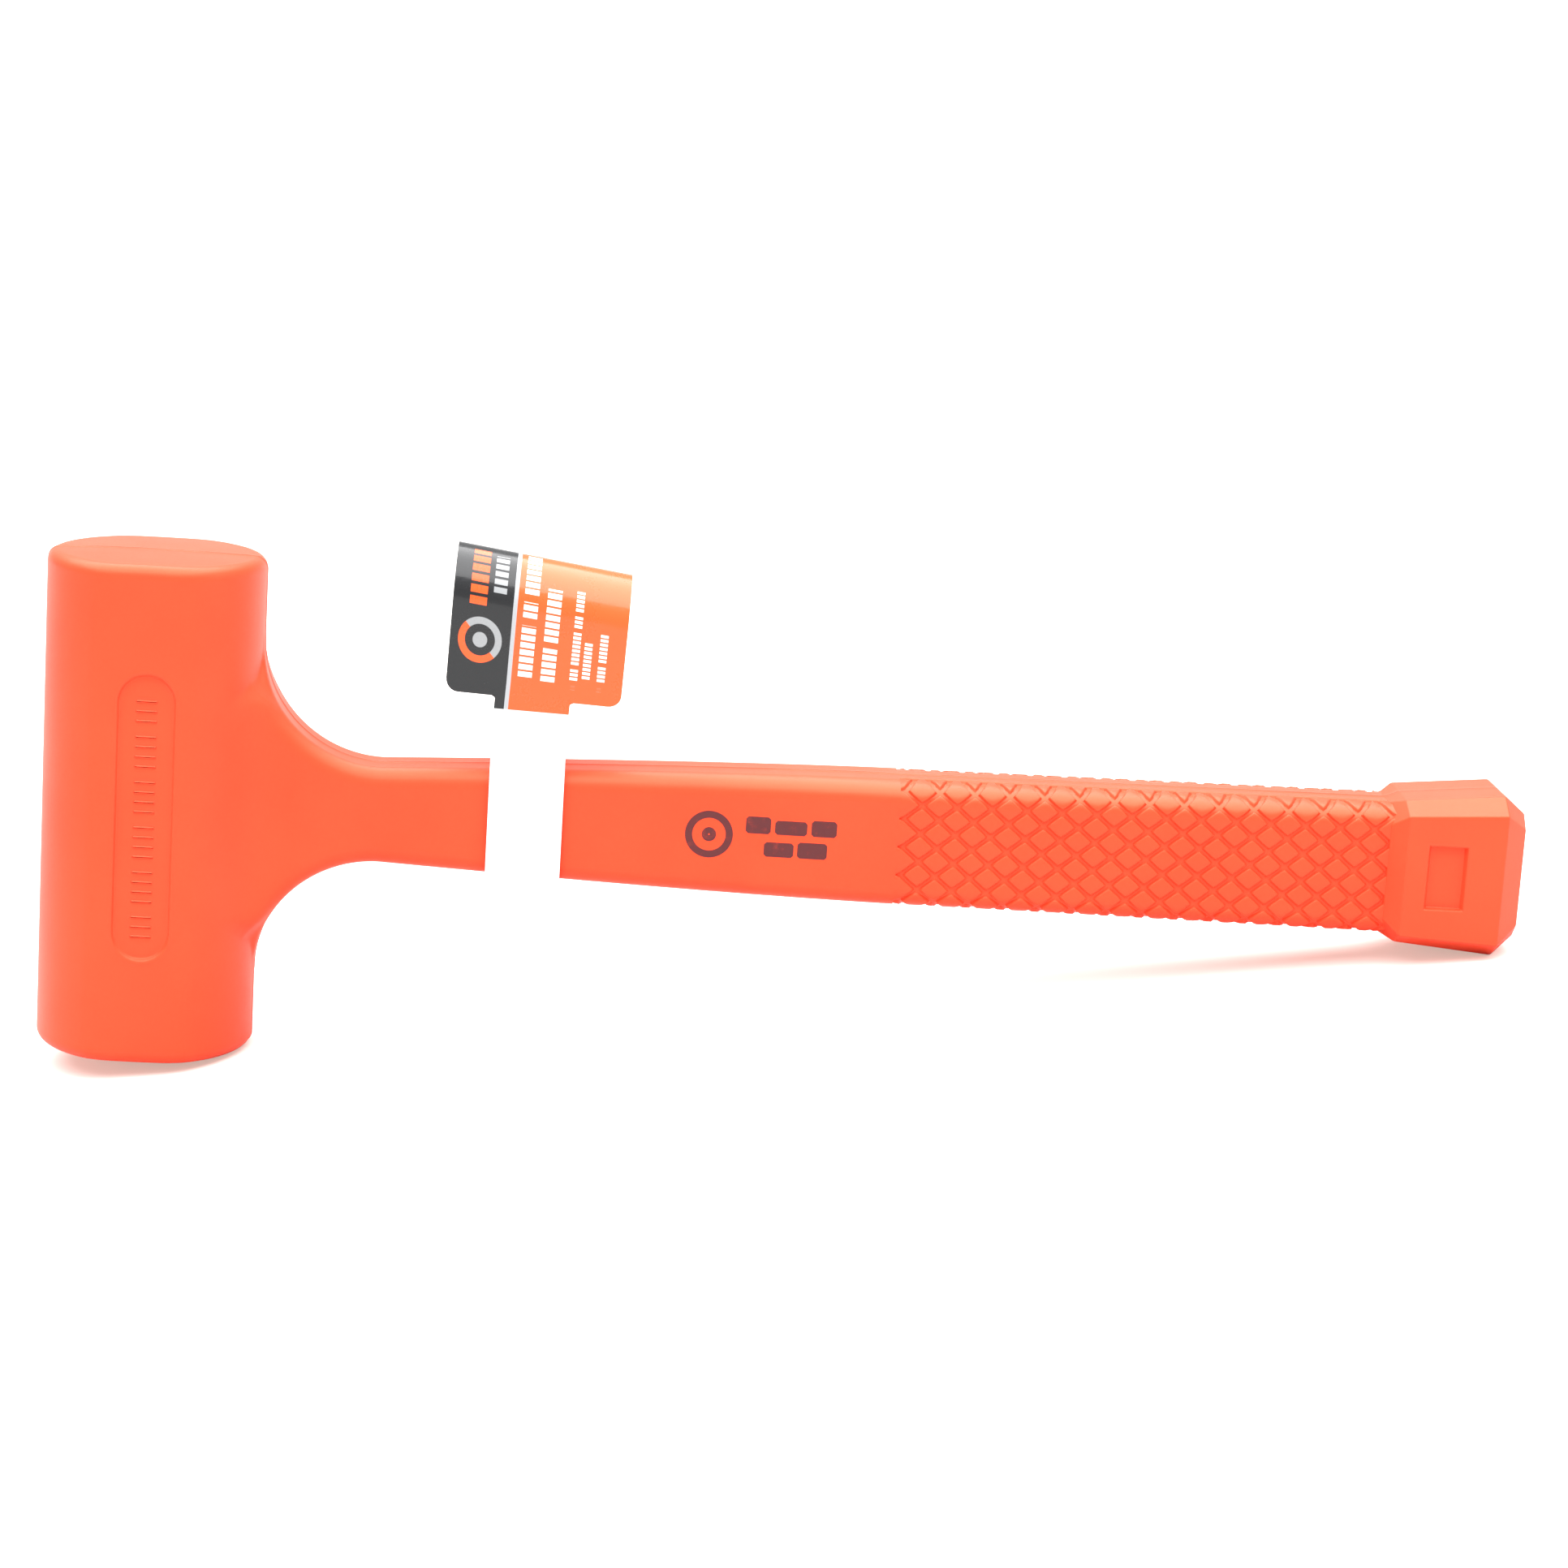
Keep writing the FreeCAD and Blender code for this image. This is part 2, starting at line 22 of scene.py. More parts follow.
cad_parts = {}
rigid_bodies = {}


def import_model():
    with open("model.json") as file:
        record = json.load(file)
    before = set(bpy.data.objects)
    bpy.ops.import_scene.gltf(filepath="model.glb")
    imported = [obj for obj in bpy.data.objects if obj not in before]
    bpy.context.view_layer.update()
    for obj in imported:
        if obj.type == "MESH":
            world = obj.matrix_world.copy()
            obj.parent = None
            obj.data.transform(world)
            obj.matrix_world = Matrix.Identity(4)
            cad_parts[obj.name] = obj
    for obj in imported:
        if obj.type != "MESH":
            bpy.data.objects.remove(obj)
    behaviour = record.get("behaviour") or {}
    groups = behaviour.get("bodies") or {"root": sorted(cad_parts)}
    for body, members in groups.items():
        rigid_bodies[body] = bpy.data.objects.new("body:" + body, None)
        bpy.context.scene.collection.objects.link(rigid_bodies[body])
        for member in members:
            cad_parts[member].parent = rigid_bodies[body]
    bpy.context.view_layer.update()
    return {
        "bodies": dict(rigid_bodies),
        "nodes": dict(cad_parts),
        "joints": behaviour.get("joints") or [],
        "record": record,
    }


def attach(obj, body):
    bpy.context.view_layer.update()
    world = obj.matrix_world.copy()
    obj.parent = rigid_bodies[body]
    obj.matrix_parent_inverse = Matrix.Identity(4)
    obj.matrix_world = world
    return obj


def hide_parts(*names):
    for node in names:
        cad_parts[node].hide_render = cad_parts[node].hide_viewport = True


MM = 0.001
# The tag's printed map: how many millimetres it spans, and how far its middle is moved sideways.
MAP_SPAN = 200.0
MAP_SHIFT = 20.0
# Half the width of the soft edge of print, in millimetres.
PRINT_EDGE = 0.06

Colour = tuple[float, float, float]
Place = tuple[float, float, float]
Socket = bpy.types.NodeSocket
Node = bpy.types.Node
Tree = bpy.types.NodeTree
Material = bpy.types.Material
Piece = bpy.types.Object
log = logging.getLogger("dead_blow_mallet")


class Body(Enum):
    """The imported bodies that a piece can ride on."""

    MALLET = "mallet"
    SHOT = "shot"
    TAG = "tag"


class Side(Enum):
    """Front is the side of the printed mark, at negative Y."""

    FRONT = -1
    BACK = 1


class Slot(Enum):
    """The record's material slots."""

    URETHANE = "urethane"
    CANISTER = "canister_steel"
    ROD = "rod_steel"
    WELD = "weld_metal"
    SHOT = "shot_steel"
    SHEET = "tag_sheet"
    TAPE = "tape"


# ---------------------------------------------------------------------------------------------
# Node trees


class NodeSheet:
    """A node tree with short calls for the sums and textures that the finishes use."""

    def __init__(self, tree: Tree) -> None:
        """Takes the tree to write into.

        Args:
            tree: the material, group or geometry tree.
        """
        self.tree = tree

    def put(self, socket: Socket, value: object) -> None:
        """Links a socket to another, or sets its own value.

        Args:
            socket: the input to fill.
            value: an output socket, a number or a tuple.
        """
        if isinstance(value, Socket):
            self.tree.links.new(value, socket)
        elif value is not None:
            socket.default_value = value

    def fill(self, node: Node, inputs: dict) -> None:
        """Fills several inputs of a node.

        Args:
            node: the node.
            inputs: values or links, by input name or number.
        """
        for name, value in inputs.items():
            self.put(node.inputs[name], value)

    def add(self, kind: str, inputs: dict | None = None, **settings: object) -> Node:
        """Adds a node.

        Args:
            kind: the node's type name.
            inputs: values or links, by input name or number.
            settings: the node's own settings.

        Returns:
            The node.
        """
        node = self.tree.nodes.new(kind)
        for name, value in settings.items():
            setattr(node, name, value)
        self.fill(node, inputs or {})
        return node

    def math(self, operation: str, a: object, b: object = None, c: object = None) -> Socket:
        """A Math node on numbers or sockets.

        Args:
            operation: the operation's name.
            a: the first value.
            b: the second value, where it has one.
            c: the third value, where it has one.

        Returns:
            The result socket.
        """
        node = self.add("ShaderNodeMath", operation=operation)
        for at, value in enumerate((a, b, c)):
            if value is not None:
                self.put(node.inputs[at], value)
        return node.outputs[0]

    def times(self, a: object, b: object) -> Socket:
        """The product of two values."""
        return self.math("MULTIPLY", a, b)

    def plus(self, a: object, b: object) -> Socket:
        """The sum of two values."""
        return self.math("ADD", a, b)

    def minus(self, a: object, b: object) -> Socket:
        """The first value less the second."""
        return self.math("SUBTRACT", a, b)

    def divided(self, a: object, b: object) -> Socket:
        """The first value divided by the second."""
        return self.math("DIVIDE", a, b)

    def smooth(
        self, value: object, low: object, high: object, out_low: float = 0.0, out_high: float = 1.0
    ) -> Socket:
        """A smooth step of a value.

        Args:
            value: what to step.
            low: where the step starts.
            high: where it ends.
            out_low: the value before it.
            out_high: the value after it.

        Returns:
            The result socket.
        """
        given = {"Value": value, "From Min": low, "From Max": high, "To Min": out_low, "To Max": out_high}
        return self.add("ShaderNodeMapRange", given, interpolation_type="SMOOTHSTEP").outputs[0]

    def place(self) -> Socket:
        """The place on the piece, in metres in its own frame."""
        return self.add("ShaderNodeTexCoord").outputs["Object"]

    def split(self, vector: object) -> tuple[Socket, ...]:
        """The X, Y and Z of a vector."""
        node = self.add("ShaderNodeSeparateXYZ", {0: vector})
        return tuple(node.outputs[:3])

    def join(self, x: object, y: object, z: object) -> Socket:
        """A vector from its X, Y and Z."""
        return self.add("ShaderNodeCombineXYZ", {0: x, 1: y, 2: z}).outputs[0]

    def noise(self, vector: object, scale: object, detail: float = 2.0, rough: float = 0.5) -> Socket:
        """A noise value round 0.5, in the vector's own units."""
        given = {"Vector": vector, "Scale": scale, "Detail": detail, "Roughness": rough}
        return self.add("ShaderNodeTexNoise", given).outputs[0]

    def bump(self, height: object, strength: float) -> Socket:
        """The shading normal of a height in metres."""
        return self.add("ShaderNodeBump", {"Height": height, "Distance": 1.0, "Strength": strength}).outputs[0]

    def mix(self, share: object, a: object, b: object) -> Socket:
        """Mixes two colours.

        Args:
            share: how much of the second one.
            a: the first colour.
            b: the second colour.

        Returns:
            The mixed colour.
        """
        node = self.add("ShaderNodeMix", data_type="RGBA")
        for name, value in (("Factor_Float", share), ("A_Color", a), ("B_Color", b)):
            socket = next(s for s in node.inputs if s.identifier == name)
            self.put(socket, (*value, 1.0) if isinstance(value, tuple) and len(value) == 3 else value)
        return next(s for s in node.outputs if s.identifier == "Result_Color")

    def group(self, tree: Tree, inputs: dict) -> bpy.types.NodeOutputs:
        """Places a shared shader group and gives its outputs."""
        return self.add("ShaderNodeGroup", inputs, node_tree=tree).outputs


class SharedEffects:
    """The shader groups that more than one finish uses. Each is built once."""

    def __init__(self) -> None:
        """Builds the groups."""
        self.mottling = self._mottling()
        self.seam = self._seam()
        self.specks = self._specks()
        self.print_block = self._print_block()
        self.rubbing = self._rubbing()

    @staticmethod
    def _group(
        name: str, inputs: dict[str, object], *outputs: str
    ) -> tuple[NodeSheet, bpy.types.NodeOutputs, bpy.types.NodeInputs]:
        """An empty group with its sockets.

        Args:
            name: the group's name.
            inputs: the default of each input by name: a number, a vector, or None for an open vector.
            outputs: the name of each output, which is a number.

        Returns:
            The sheet to write on, the sockets to read from and the sockets to fill.
        """
        tree = bpy.data.node_groups.new(name, "ShaderNodeTree")
        for label, default in inputs.items():
            kind = "NodeSocketFloat" if isinstance(default, float) else "NodeSocketVector"
            socket = tree.interface.new_socket(name=label, in_out="INPUT", socket_type=kind)
            if default is not None:
                socket.default_value = default
        for label in outputs:
            tree.interface.new_socket(name=label, in_out="OUTPUT", socket_type="NodeSocketFloat")
        given, out = tree.nodes.new("NodeGroupInput"), tree.nodes.new("NodeGroupOutput")
        return NodeSheet(tree), given.outputs, out.inputs

    def _mottling(self) -> Tree:
        """Slow and fine unevenness of a cast or rolled surface, as a factor round one.

        Returns:
            The group.
        """
        defaults = {"Vector": None, "Coarse": 60.0, "Fine": 900.0, "Amount": 0.1}
        s, given, out = self._group("mottling", defaults, "Factor", "Grain")
        coarse = s.noise(given["Vector"], given["Coarse"], 3.0, 0.55)
        fine = s.noise(given["Vector"], given["Fine"], 2.0, 0.6)
        both = s.plus(s.times(coarse, 0.7), s.times(fine, 0.3))
        swing = s.times(s.minus(both, 0.5), s.times(given["Amount"], 2.0))
        s.put(out["Factor"], s.plus(swing, 1.0))
        s.put(out["Grain"], fine)
        return s.tree

    def _seam(self) -> Tree:
        """The line where two mould halves met, on the plane Y = 0, a little uneven along its way.

        Returns:
            The group.
        """
        defaults = {"Vector": None, "Half Width": 0.0002, "Wander": 0.0003}
        s, given, out = self._group("mould_seam", defaults, "Line", "Lip")
        x, y, z = s.split(given["Vector"])
        flat = s.join(x, 0.0, z)
        sway = s.minus(s.noise(flat, 22.0, 2.0), 0.5)
        drift = s.times(sway, s.times(given["Wander"], 2.0))
        away = s.math("ABSOLUTE", s.minus(y, drift))
        swell = s.smooth(s.noise(flat, 55.0, 1.0), 0.3, 0.7, 0.45, 1.25)
        width = s.times(given["Half Width"], swell)
        line = s.minus(1.0, s.math("SMOOTH_MIN", s.divided(away, width), 1.0, 0.4))
        s.put(out["Line"], s.math("MAXIMUM", line, 0.0))
        beside = s.divided(away, s.times(given["Half Width"], 5.0))
        s.put(out["Lip"], s.minus(1.0, s.math("MINIMUM", beside, 1.0)))
        return s.tree

    def _specks(self) -> Tree:
        """Small dust specks and pits, scattered a few to the square centimetre.

        Returns:
            The group.
        """
        s, given, out = self._group("specks", {"Vector": None, "Scale": 160.0, "Share": 0.04}, "Mask")
        cells = s.add("ShaderNodeTexVoronoi", {"Vector": given["Vector"], "Scale": given["Scale"]})
        hue = s.add("ShaderNodeSeparateColor", {0: cells.outputs["Color"]})
        chosen = s.math("LESS_THAN", hue.outputs[0], given["Share"])
        dot = s.smooth(cells.outputs["Distance"], 0.05, 0.16, 1.0, 0.0)
        s.put(out["Mask"], s.times(chosen, dot))
        return s.tree

    def _print_block(self) -> Tree:
        """A printed rectangle with an even soft edge, cut across into strokes at a pitch.

        Ink is the share of the pitch that is printed. Above one, the rectangle stays whole.

        Returns:
            The group.
        """
        defaults = {
            "Across": 0.0, "Along": 0.0, "Mid Across": 0.0, "Mid Along": 0.0,
            "Half Across": 1.0, "Half Along": 1.0, "Pitch": 1.0, "Ink": 1.0,
        }
        s, given, out = self._group("print_block", defaults, "Mask")

        def past(way: str) -> Socket:
            """How far a point is outside the rectangle, across or along."""
            away = s.math("ABSOLUTE", s.minus(given[way], given[f"Mid {way}"]))
            return s.minus(away, given[f"Half {way}"])

        outside = s.math("MAXIMUM", past("Across"), past("Along"))
        inside = s.smooth(outside, -PRINT_EDGE, PRINT_EDGE, 1.0, 0.0)
        begin = s.minus(given["Mid Along"], given["Half Along"])
        phase = s.math("FRACT", s.divided(s.minus(given["Along"], begin), given["Pitch"]))
        fade = 0.06
        closing = s.smooth(phase, s.minus(given["Ink"], fade), given["Ink"], 1.0, 0.0)
        stroke = s.times(s.smooth(phase, 0.0, fade), closing)
        s.put(out["Mask"], s.times(inside, stroke))
        return s.tree

    def _rubbing(self) -> Tree:
        """Fine scratches and dulled patches on bare metal, along one direction.

        Returns:
            The group.
        """
        defaults = {"Vector": None, "Stretch": (1.0, 1.0, 1.0), "Scale": 900.0}
        s, given, out = self._group("rubbing", defaults, "Lines", "Patches")
        stretched = {0: given["Vector"], 1: given["Stretch"]}
        drawn = s.add("ShaderNodeVectorMath", stretched, operation="MULTIPLY").outputs[0]
        s.put(out["Lines"], s.noise(drawn, given["Scale"], 3.0, 0.65))
        s.put(out["Patches"], s.smooth(s.noise(given["Vector"], 90.0, 4.0, 0.6), 0.42, 0.68))
        return s.tree

    def mottled(
        self, s: NodeSheet, place: Socket, coarse: float, fine: float, amount: float
    ) -> bpy.types.NodeOutputs:
        """Places the mottling on a sheet.

        Args:
            s: the finish's sheet.
            place: the place on the piece.
            coarse: scale of the slow part.
            fine: scale of the fine part.
            amount: how strong it is.

        Returns:
            The outputs, Factor and Grain.
        """
        return s.group(self.mottling, {"Vector": place, "Coarse": coarse, "Fine": fine, "Amount": amount})


# ---------------------------------------------------------------------------------------------
# Finishes


def fresh_material(name: str) -> tuple[Material, NodeSheet, Node]:
    """An empty node material.

    Args:
        name: the material's name.

    Returns:
        The material, its sheet and its Principled node, which is already wired to the output.
    """
    material = bpy.data.materials.new(name)
    material.use_nodes = True
    sheet = NodeSheet(material.node_tree)
    material.node_tree.nodes.clear()
    shader = sheet.add("ShaderNodeBsdfPrincipled")
    output = sheet.add("ShaderNodeOutputMaterial")
    sheet.put(output.inputs["Surface"], shader.outputs[0])
    return material, sheet, shader


@dataclass(frozen=True)
class CastUrethane:
    """Solid orange urethane: satin, slightly mottled, with the mould's seam and a few specks."""

    colour: Colour = (1.0, 0.068, 0.025)
    deep: Colour = (0.92, 0.046, 0.016)
    speck: Colour = (0.35, 0.04, 0.02)
    seam_tint: Colour = (0.66, 0.03, 0.01)
    glint: Colour = (1.0, 0.74, 0.5)
    roughness: float = 0.42
    specular: float = 0.42
    seam_half_width: float = 0.0003

    def make(self, effects: SharedEffects, name: str = "cast_urethane", seam: bool = True) -> Material:
        """Builds the material.

        Args:
            effects: the shared groups.
            name: the material's name.
            seam: whether the mould seam crosses the piece.

        Returns:
            The material.
        """
        material, s, shader = fresh_material(name)
        place = s.place()
        mottle = effects.mottled(s, place, 38.0, 1400.0, 0.22)
        tint = s.smooth(mottle["Factor"], 0.93, 1.07)
        base = s.mix(s.times(tint, 0.3), self.colour, self.deep)
        specks = s.group(effects.specks, {"Vector": place, "Scale": 210.0, "Share": 0.006})
        base = s.mix(s.times(specks["Mask"], 0.45), base, self.speck)
        rough = s.times(mottle["Factor"], self.roughness)
        height = s.times(mottle["Grain"], 0.000012)
        if seam:
            given = {"Vector": place, "Half Width": self.seam_half_width, "Wander": 0.0005}
            joint = s.group(effects.seam, given)
            base = s.mix(s.times(joint["Line"], 0.7), base, self.seam_tint)
            rough = s.plus(rough, s.times(joint["Line"], 0.25))
            lip = s.minus(s.times(joint["Lip"], 0.4), joint["Line"])
            height = s.plus(height, s.times(lip, 0.00018))
        s.fill(shader, {"Base Color": base, "Roughness": rough, "Normal": s.bump(height, 0.9)})
        shader.inputs["IOR"].default_value = 1.5
        shader.inputs["Specular IOR Level"].default_value = self.specular
        shader.inputs["Specular Tint"].default_value = (*self.glint, 1.0)
        return material


@dataclass(frozen=True)
class BareSteel:
    """Drawn or turned steel, with fine lines one way and dull patches."""

    colour: Colour = (0.56, 0.56, 0.58)
    dull: Colour = (0.34, 0.33, 0.33)
    stretch: Colour = (0.04, 1.0, 1.0)
    roughness: float = 0.32

    def make(self, effects: SharedEffects, name: str) -> Material:
        """Builds the material.

        Args:
            effects: the shared groups.
            name: the material's name.

        Returns:
            The material.
        """
        material, s, shader = fresh_material(name)
        rub = s.group(effects.rubbing, {"Vector": s.place(), "Stretch": self.stretch, "Scale": 1500.0})
        rough = s.plus(s.times(rub["Lines"], 0.25), self.roughness - 0.12)
        s.fill(shader, {
            "Base Color": s.mix(s.times(rub["Patches"], 0.6), self.colour, self.dull),
            "Roughness": s.plus(rough, s.times(rub["Patches"], 0.12)),
            "Normal": s.bump(s.times(rub["Lines"], 0.00002), 0.7),
        })
        shader.inputs["Metallic"].default_value = 1.0
        return material


@dataclass(frozen=True)
class WeldMetal:
    """Laid weld metal, rippled round its run, with heat tint in straw and blue."""

    colour: Colour = (0.42, 0.40, 0.38)
    straw: Colour = (0.45, 0.30, 0.12)
    blue: Colour = (0.13, 0.16, 0.30)
    ripples: float = 70.0
    rod_height: float = 0.0525

    def make(self, effects: SharedEffects, name: str, along_x: bool = False) -> Material:
        """Builds the material.

        Args:
            effects: the shared groups.
            name: the material's name.
            along_x: True where the weld runs round the rod, and False round the canister.

        Returns:
            The material.
        """
        material, s, shader = fresh_material(name)
        place = s.place()
        x, y, z = s.split(place)
        turn = s.math("ARCTAN2", y, s.minus(z, self.rod_height) if along_x else x)
        mottle = effects.mottled(s, place, 220.0, 1800.0, 0.4)
        factor = mottle["Factor"]
        wave = s.math("SINE", s.plus(s.times(turn, self.ripples), s.times(factor, 6.0)))
        base = s.mix(s.times(s.smooth(factor, 0.85, 1.15), 0.7), self.colour, self.straw)
        base = s.mix(s.smooth(factor, 1.0, 1.2, 0.0, 0.8), base, self.blue)
        height = s.plus(s.times(wave, 0.00006), s.times(mottle["Grain"], 0.00008))
        rough = s.times(factor, 0.42)
        s.fill(shader, {"Base Color": base, "Roughness": rough, "Normal": s.bump(height, 1.0)})
        shader.inputs["Metallic"].default_value = 1.0
        return material


@dataclass(frozen=True)
class PrintInk:
    """The dark ink of the mark on the handle, a little worn through."""

    colour: Colour = (0.095, 0.006, 0.008)
    worn: Colour = (0.42, 0.035, 0.02)

    def make(self, effects: SharedEffects) -> Material:
        """Builds the material.

        Args:
            effects: the shared groups.

        Returns:
            The material.
        """
        material, s, shader = fresh_material("handle_ink")
        factor = effects.mottled(s, s.place(), 500.0, 2600.0, 0.6)["Factor"]
        base = s.mix(s.smooth(factor, 1.0, 1.45, 0.0, 0.7), self.colour, self.worn)
        s.fill(shader, {"Base Color": base, "Roughness": s.times(factor, 0.5)})
        return material


@dataclass(frozen=True)
class PlainSheet:
    """The white inner side and the edges of the tag's plastic sheet."""

    colour: Colour = (0.86, 0.86, 0.85)
    shade: Colour = (0.78, 0.78, 0.77)

    def make(self, effects: SharedEffects, name: str = "sheet_white", roughness: float = 0.34) -> Material:
        """Builds the material.

        Args:
            effects: the shared groups.
            name: the material's name.
            roughness: the middle roughness.

        Returns:
            The material.
        """
        material, s, shader = fresh_material(name)
        factor = effects.mottled(s, s.place(), 70.0, 1500.0, 0.12)["Factor"]
        base = s.mix(s.smooth(factor, 0.94, 1.06, 0.0, 0.25), self.colour, self.shade)
        s.fill(shader, {"Base Color": base, "Roughness": s.times(factor, roughness)})
        return material


@dataclass(frozen=True)
class PrintedSheet:
    """The outer side of the tag: white strap, then a charcoal band, a silver line and orange, glossy.

    Every word and sign is a plain row of strokes, with the rhythm of print and no letters.
    Places are in millimetres across the strap and along the sheet, on the piece's own map.
    """

    white: Colour = (0.90, 0.90, 0.89)
    charcoal: Colour = (0.016, 0.0165, 0.018)
    silver: Colour = (0.42, 0.43, 0.45)
    orange: Colour = (0.93, 0.105, 0.02)
    grey: Colour = (0.33, 0.34, 0.35)
    lettering: Colour = (0.92, 0.91, 0.89)
    print_start: float = 77.0
    print_end: float = 146.9
    band_edge: float = -5.7
    line_width: float = 0.85
    bold_words: tuple = (
        (-2.1, 84.0, 94.6), (-2.1, 96.2, 99.4), (-2.1, 101.0, 112.0), (2.6, 83.6, 90.6), (2.6, 92.0, 103.0),
    )
    small_words: tuple = (
        (7.9, 84.6, 87.0), (7.9, 88.0, 95.0), (7.9, 96.0, 98.4), (7.9, 99.4, 103.6),
        (10.4, 85.2, 93.2), (13.5, 85.0, 88.4), (13.5, 89.4, 95.6),
    )
    bullets: tuple = ((7.9, 83.0), (13.3, 83.2))
    sign_place: tuple[float, float] = (-11.9, 90.2)

    def _ring(
        self, s: NodeSheet, across: Socket, along: Socket, outer: float, inner: float
    ) -> tuple[Socket, Socket]:
        """A printed ring and the side of it that a point is on.

        Args:
            s: the sheet to write on.
            across: place across the tag.
            along: place along it.
            outer: the ring's outer radius.
            inner: its inner radius.

        Returns:
            The ring's mask, and a mask of its upper half.
        """
        u = s.minus(across, self.sign_place[0])
        v = s.minus(along, self.sign_place[1])
        away = s.math("SQRT", s.plus(s.times(u, u), s.times(v, v)))
        past_inner = s.smooth(away, inner - PRINT_EDGE, inner + PRINT_EDGE)
        within_outer = s.smooth(away, outer - PRINT_EDGE, outer + PRINT_EDGE, 1.0, 0.0)
        return s.times(past_inner, within_outer), s.smooth(s.plus(u, v), -0.1, 0.1)

    def make(self, effects: SharedEffects) -> Material:
        """Builds the material.

        Args:
            effects: the shared groups.

        Returns:
            The material.
        """
        material, s, shader = fresh_material("sheet_printed")
        u, v, _ = s.split(s.add("ShaderNodeUVMap", uv_map="print").outputs[0])
        across = s.minus(s.times(u, MAP_SPAN), MAP_SHIFT)
        along = s.times(v, MAP_SPAN)

        def block(
            mid: float, low: float, high: float, half: float, pitch: float = 100.0, ink: float = 2.0
        ) -> Socket:
            """One printed block, cut into strokes where it has a pitch.

            Args:
                mid: its middle across the tag.
                low: where it starts along the tag.
                high: where it ends.
                half: half its width across.
                pitch: from stroke to stroke.
                ink: the share of the pitch that is printed, or above one for a whole block.

            Returns:
                Its mask.
            """
            return s.group(effects.print_block, {
                "Across": across, "Along": along, "Mid Across": mid, "Mid Along": (low + high) / 2,
                "Half Across": half, "Half Along": (high - low) / 2, "Pitch": pitch, "Ink": ink,
            })["Mask"]

        def past(place: float) -> Socket:
            """A mask of what lies past a line across the tag."""
            return s.smooth(across, place - 0.05, place + 0.05)

        words = [block(mid, low, high, 1.45, 1.5, 0.78) for mid, low, high in self.bold_words]
        words += [block(mid, low, high, 0.8, 0.92, 0.72) for mid, low, high in self.small_words]
        words += [block(mid, place - 0.45, place + 0.45, 0.45) for mid, place in self.bullets]
        lettered = reduce(lambda one, other: s.math("MAXIMUM", one, other), words)
        printed = s.mix(past(self.band_edge), self.charcoal, self.silver)
        printed = s.mix(past(self.band_edge + self.line_width), printed, self.orange)
        printed = s.mix(lettered, printed, self.lettering)
        ring, half = self._ring(s, across, along, 4.5, 3.1)
        hub, _ = self._ring(s, across, along, 1.5, 0.0)
        printed = s.mix(ring, printed, s.mix(half, self.orange, self.grey))
        printed = s.mix(hub, printed, self.grey)
        printed = s.mix(block(-12.9, 97.0, 110.5, 1.75, 2.3, 0.76), printed, self.orange)
        printed = s.mix(block(-8.6, 100.0, 109.0, 1.35, 1.75, 0.74), printed, self.grey)
        begun = s.smooth(along, self.print_start - PRINT_EDGE, self.print_start + PRINT_EDGE)
        on_card = s.times(begun, s.smooth(along, self.print_end, self.print_end + 0.1, 1.0, 0.0))
        factor = effects.mottled(s, s.place(), 60.0, 1600.0, 0.3)["Factor"]
        s.fill(shader, {
            "Base Color": s.mix(on_card, self.white, printed),
            "Roughness": s.times(factor, 0.27),
            "Normal": s.bump(s.times(factor, 0.0004), 0.35),
        })
        shader.inputs["Coat Weight"].default_value = 0.3
        shader.inputs["Specular IOR Level"].default_value = 0.3
        shader.inputs["Coat Roughness"].default_value = 0.08
        return material


@dataclass(frozen=True)
class StudioFloor:
    """White matt sweep. It is seen from above only, so that a low view isn't hidden by it. To the camera alone
    it also glows a warm pink: painted light that lightens the shadows on it.
    """

    colour: Colour = (0.50, 0.498, 0.492)
    shade: Colour = (0.485, 0.482, 0.476)
    # Painted light: the warm glow that the camera alone sees on the floor, lightening its shadows.
    lift: Colour = (0.56, 0.40, 0.345)

    def make(self, effects: SharedEffects) -> Material:
        """Builds the material.

        Args:
            effects: the shared groups.

        Returns:
            The material.
        """
        material, s, shader = fresh_material("studio_floor")
        factor = effects.mottled(s, s.place(), 3.0, 220.0, 0.03)["Factor"]
        s.fill(shader, {
            "Base Color": s.mix(s.smooth(factor, 0.97, 1.03, 0.0, 0.4), self.colour, self.shade),
            "Roughness": s.times(factor, 0.8),
            # Painted light: the floor glows its warm colour to camera rays only, lifting its shadows.
            "Emission Strength": s.add("ShaderNodeLightPath").outputs["Is Camera Ray"],
        })
        shader.inputs["Specular IOR Level"].default_value = 0.1
        shader.inputs["Emission Color"].default_value = (*self.lift, 1.0)
        clear = s.add("ShaderNodeBsdfTransparent")
        under = s.add("ShaderNodeNewGeometry").outputs["Backfacing"]
        both = s.add("ShaderNodeMixShader", {0: under, 1: shader.outputs[0], 2: clear.outputs[0]})
        output = next(n for n in s.tree.nodes if n.type == "OUTPUT_MATERIAL")
        s.put(output.inputs["Surface"], both.outputs[0])
        return material


# ---------------------------------------------------------------------------------------------
# Mesh making


def solid(
    name: str,
    points: np.ndarray,
    faces: Iterable[Sequence[int]],
    materials: Sequence[Material],
    sharp: float = 40.0,
) -> Piece:
    """A mesh object from points in millimetres, smooth where its faces turn gently.

    Args:
        name: the piece's name.
        points: one row for each point.
        faces: the points of each face.
        materials: the piece's materials.
        sharp: the angle in degrees past which an edge stays crisp.

    Returns:
        The object, linked to the scene.
    """
    mesh = bpy.data.meshes.new(name)
    mesh.from_pydata((np.asarray(points, float) * MM).tolist(), [], [list(map(int, f)) for f in faces])
    mesh.validate()
    for material in materials:
        mesh.materials.append(material)
    piece = bpy.data.objects.new(name, mesh)
    bpy.context.scene.collection.objects.link(piece)
    shade(piece, sharp)
    return piece


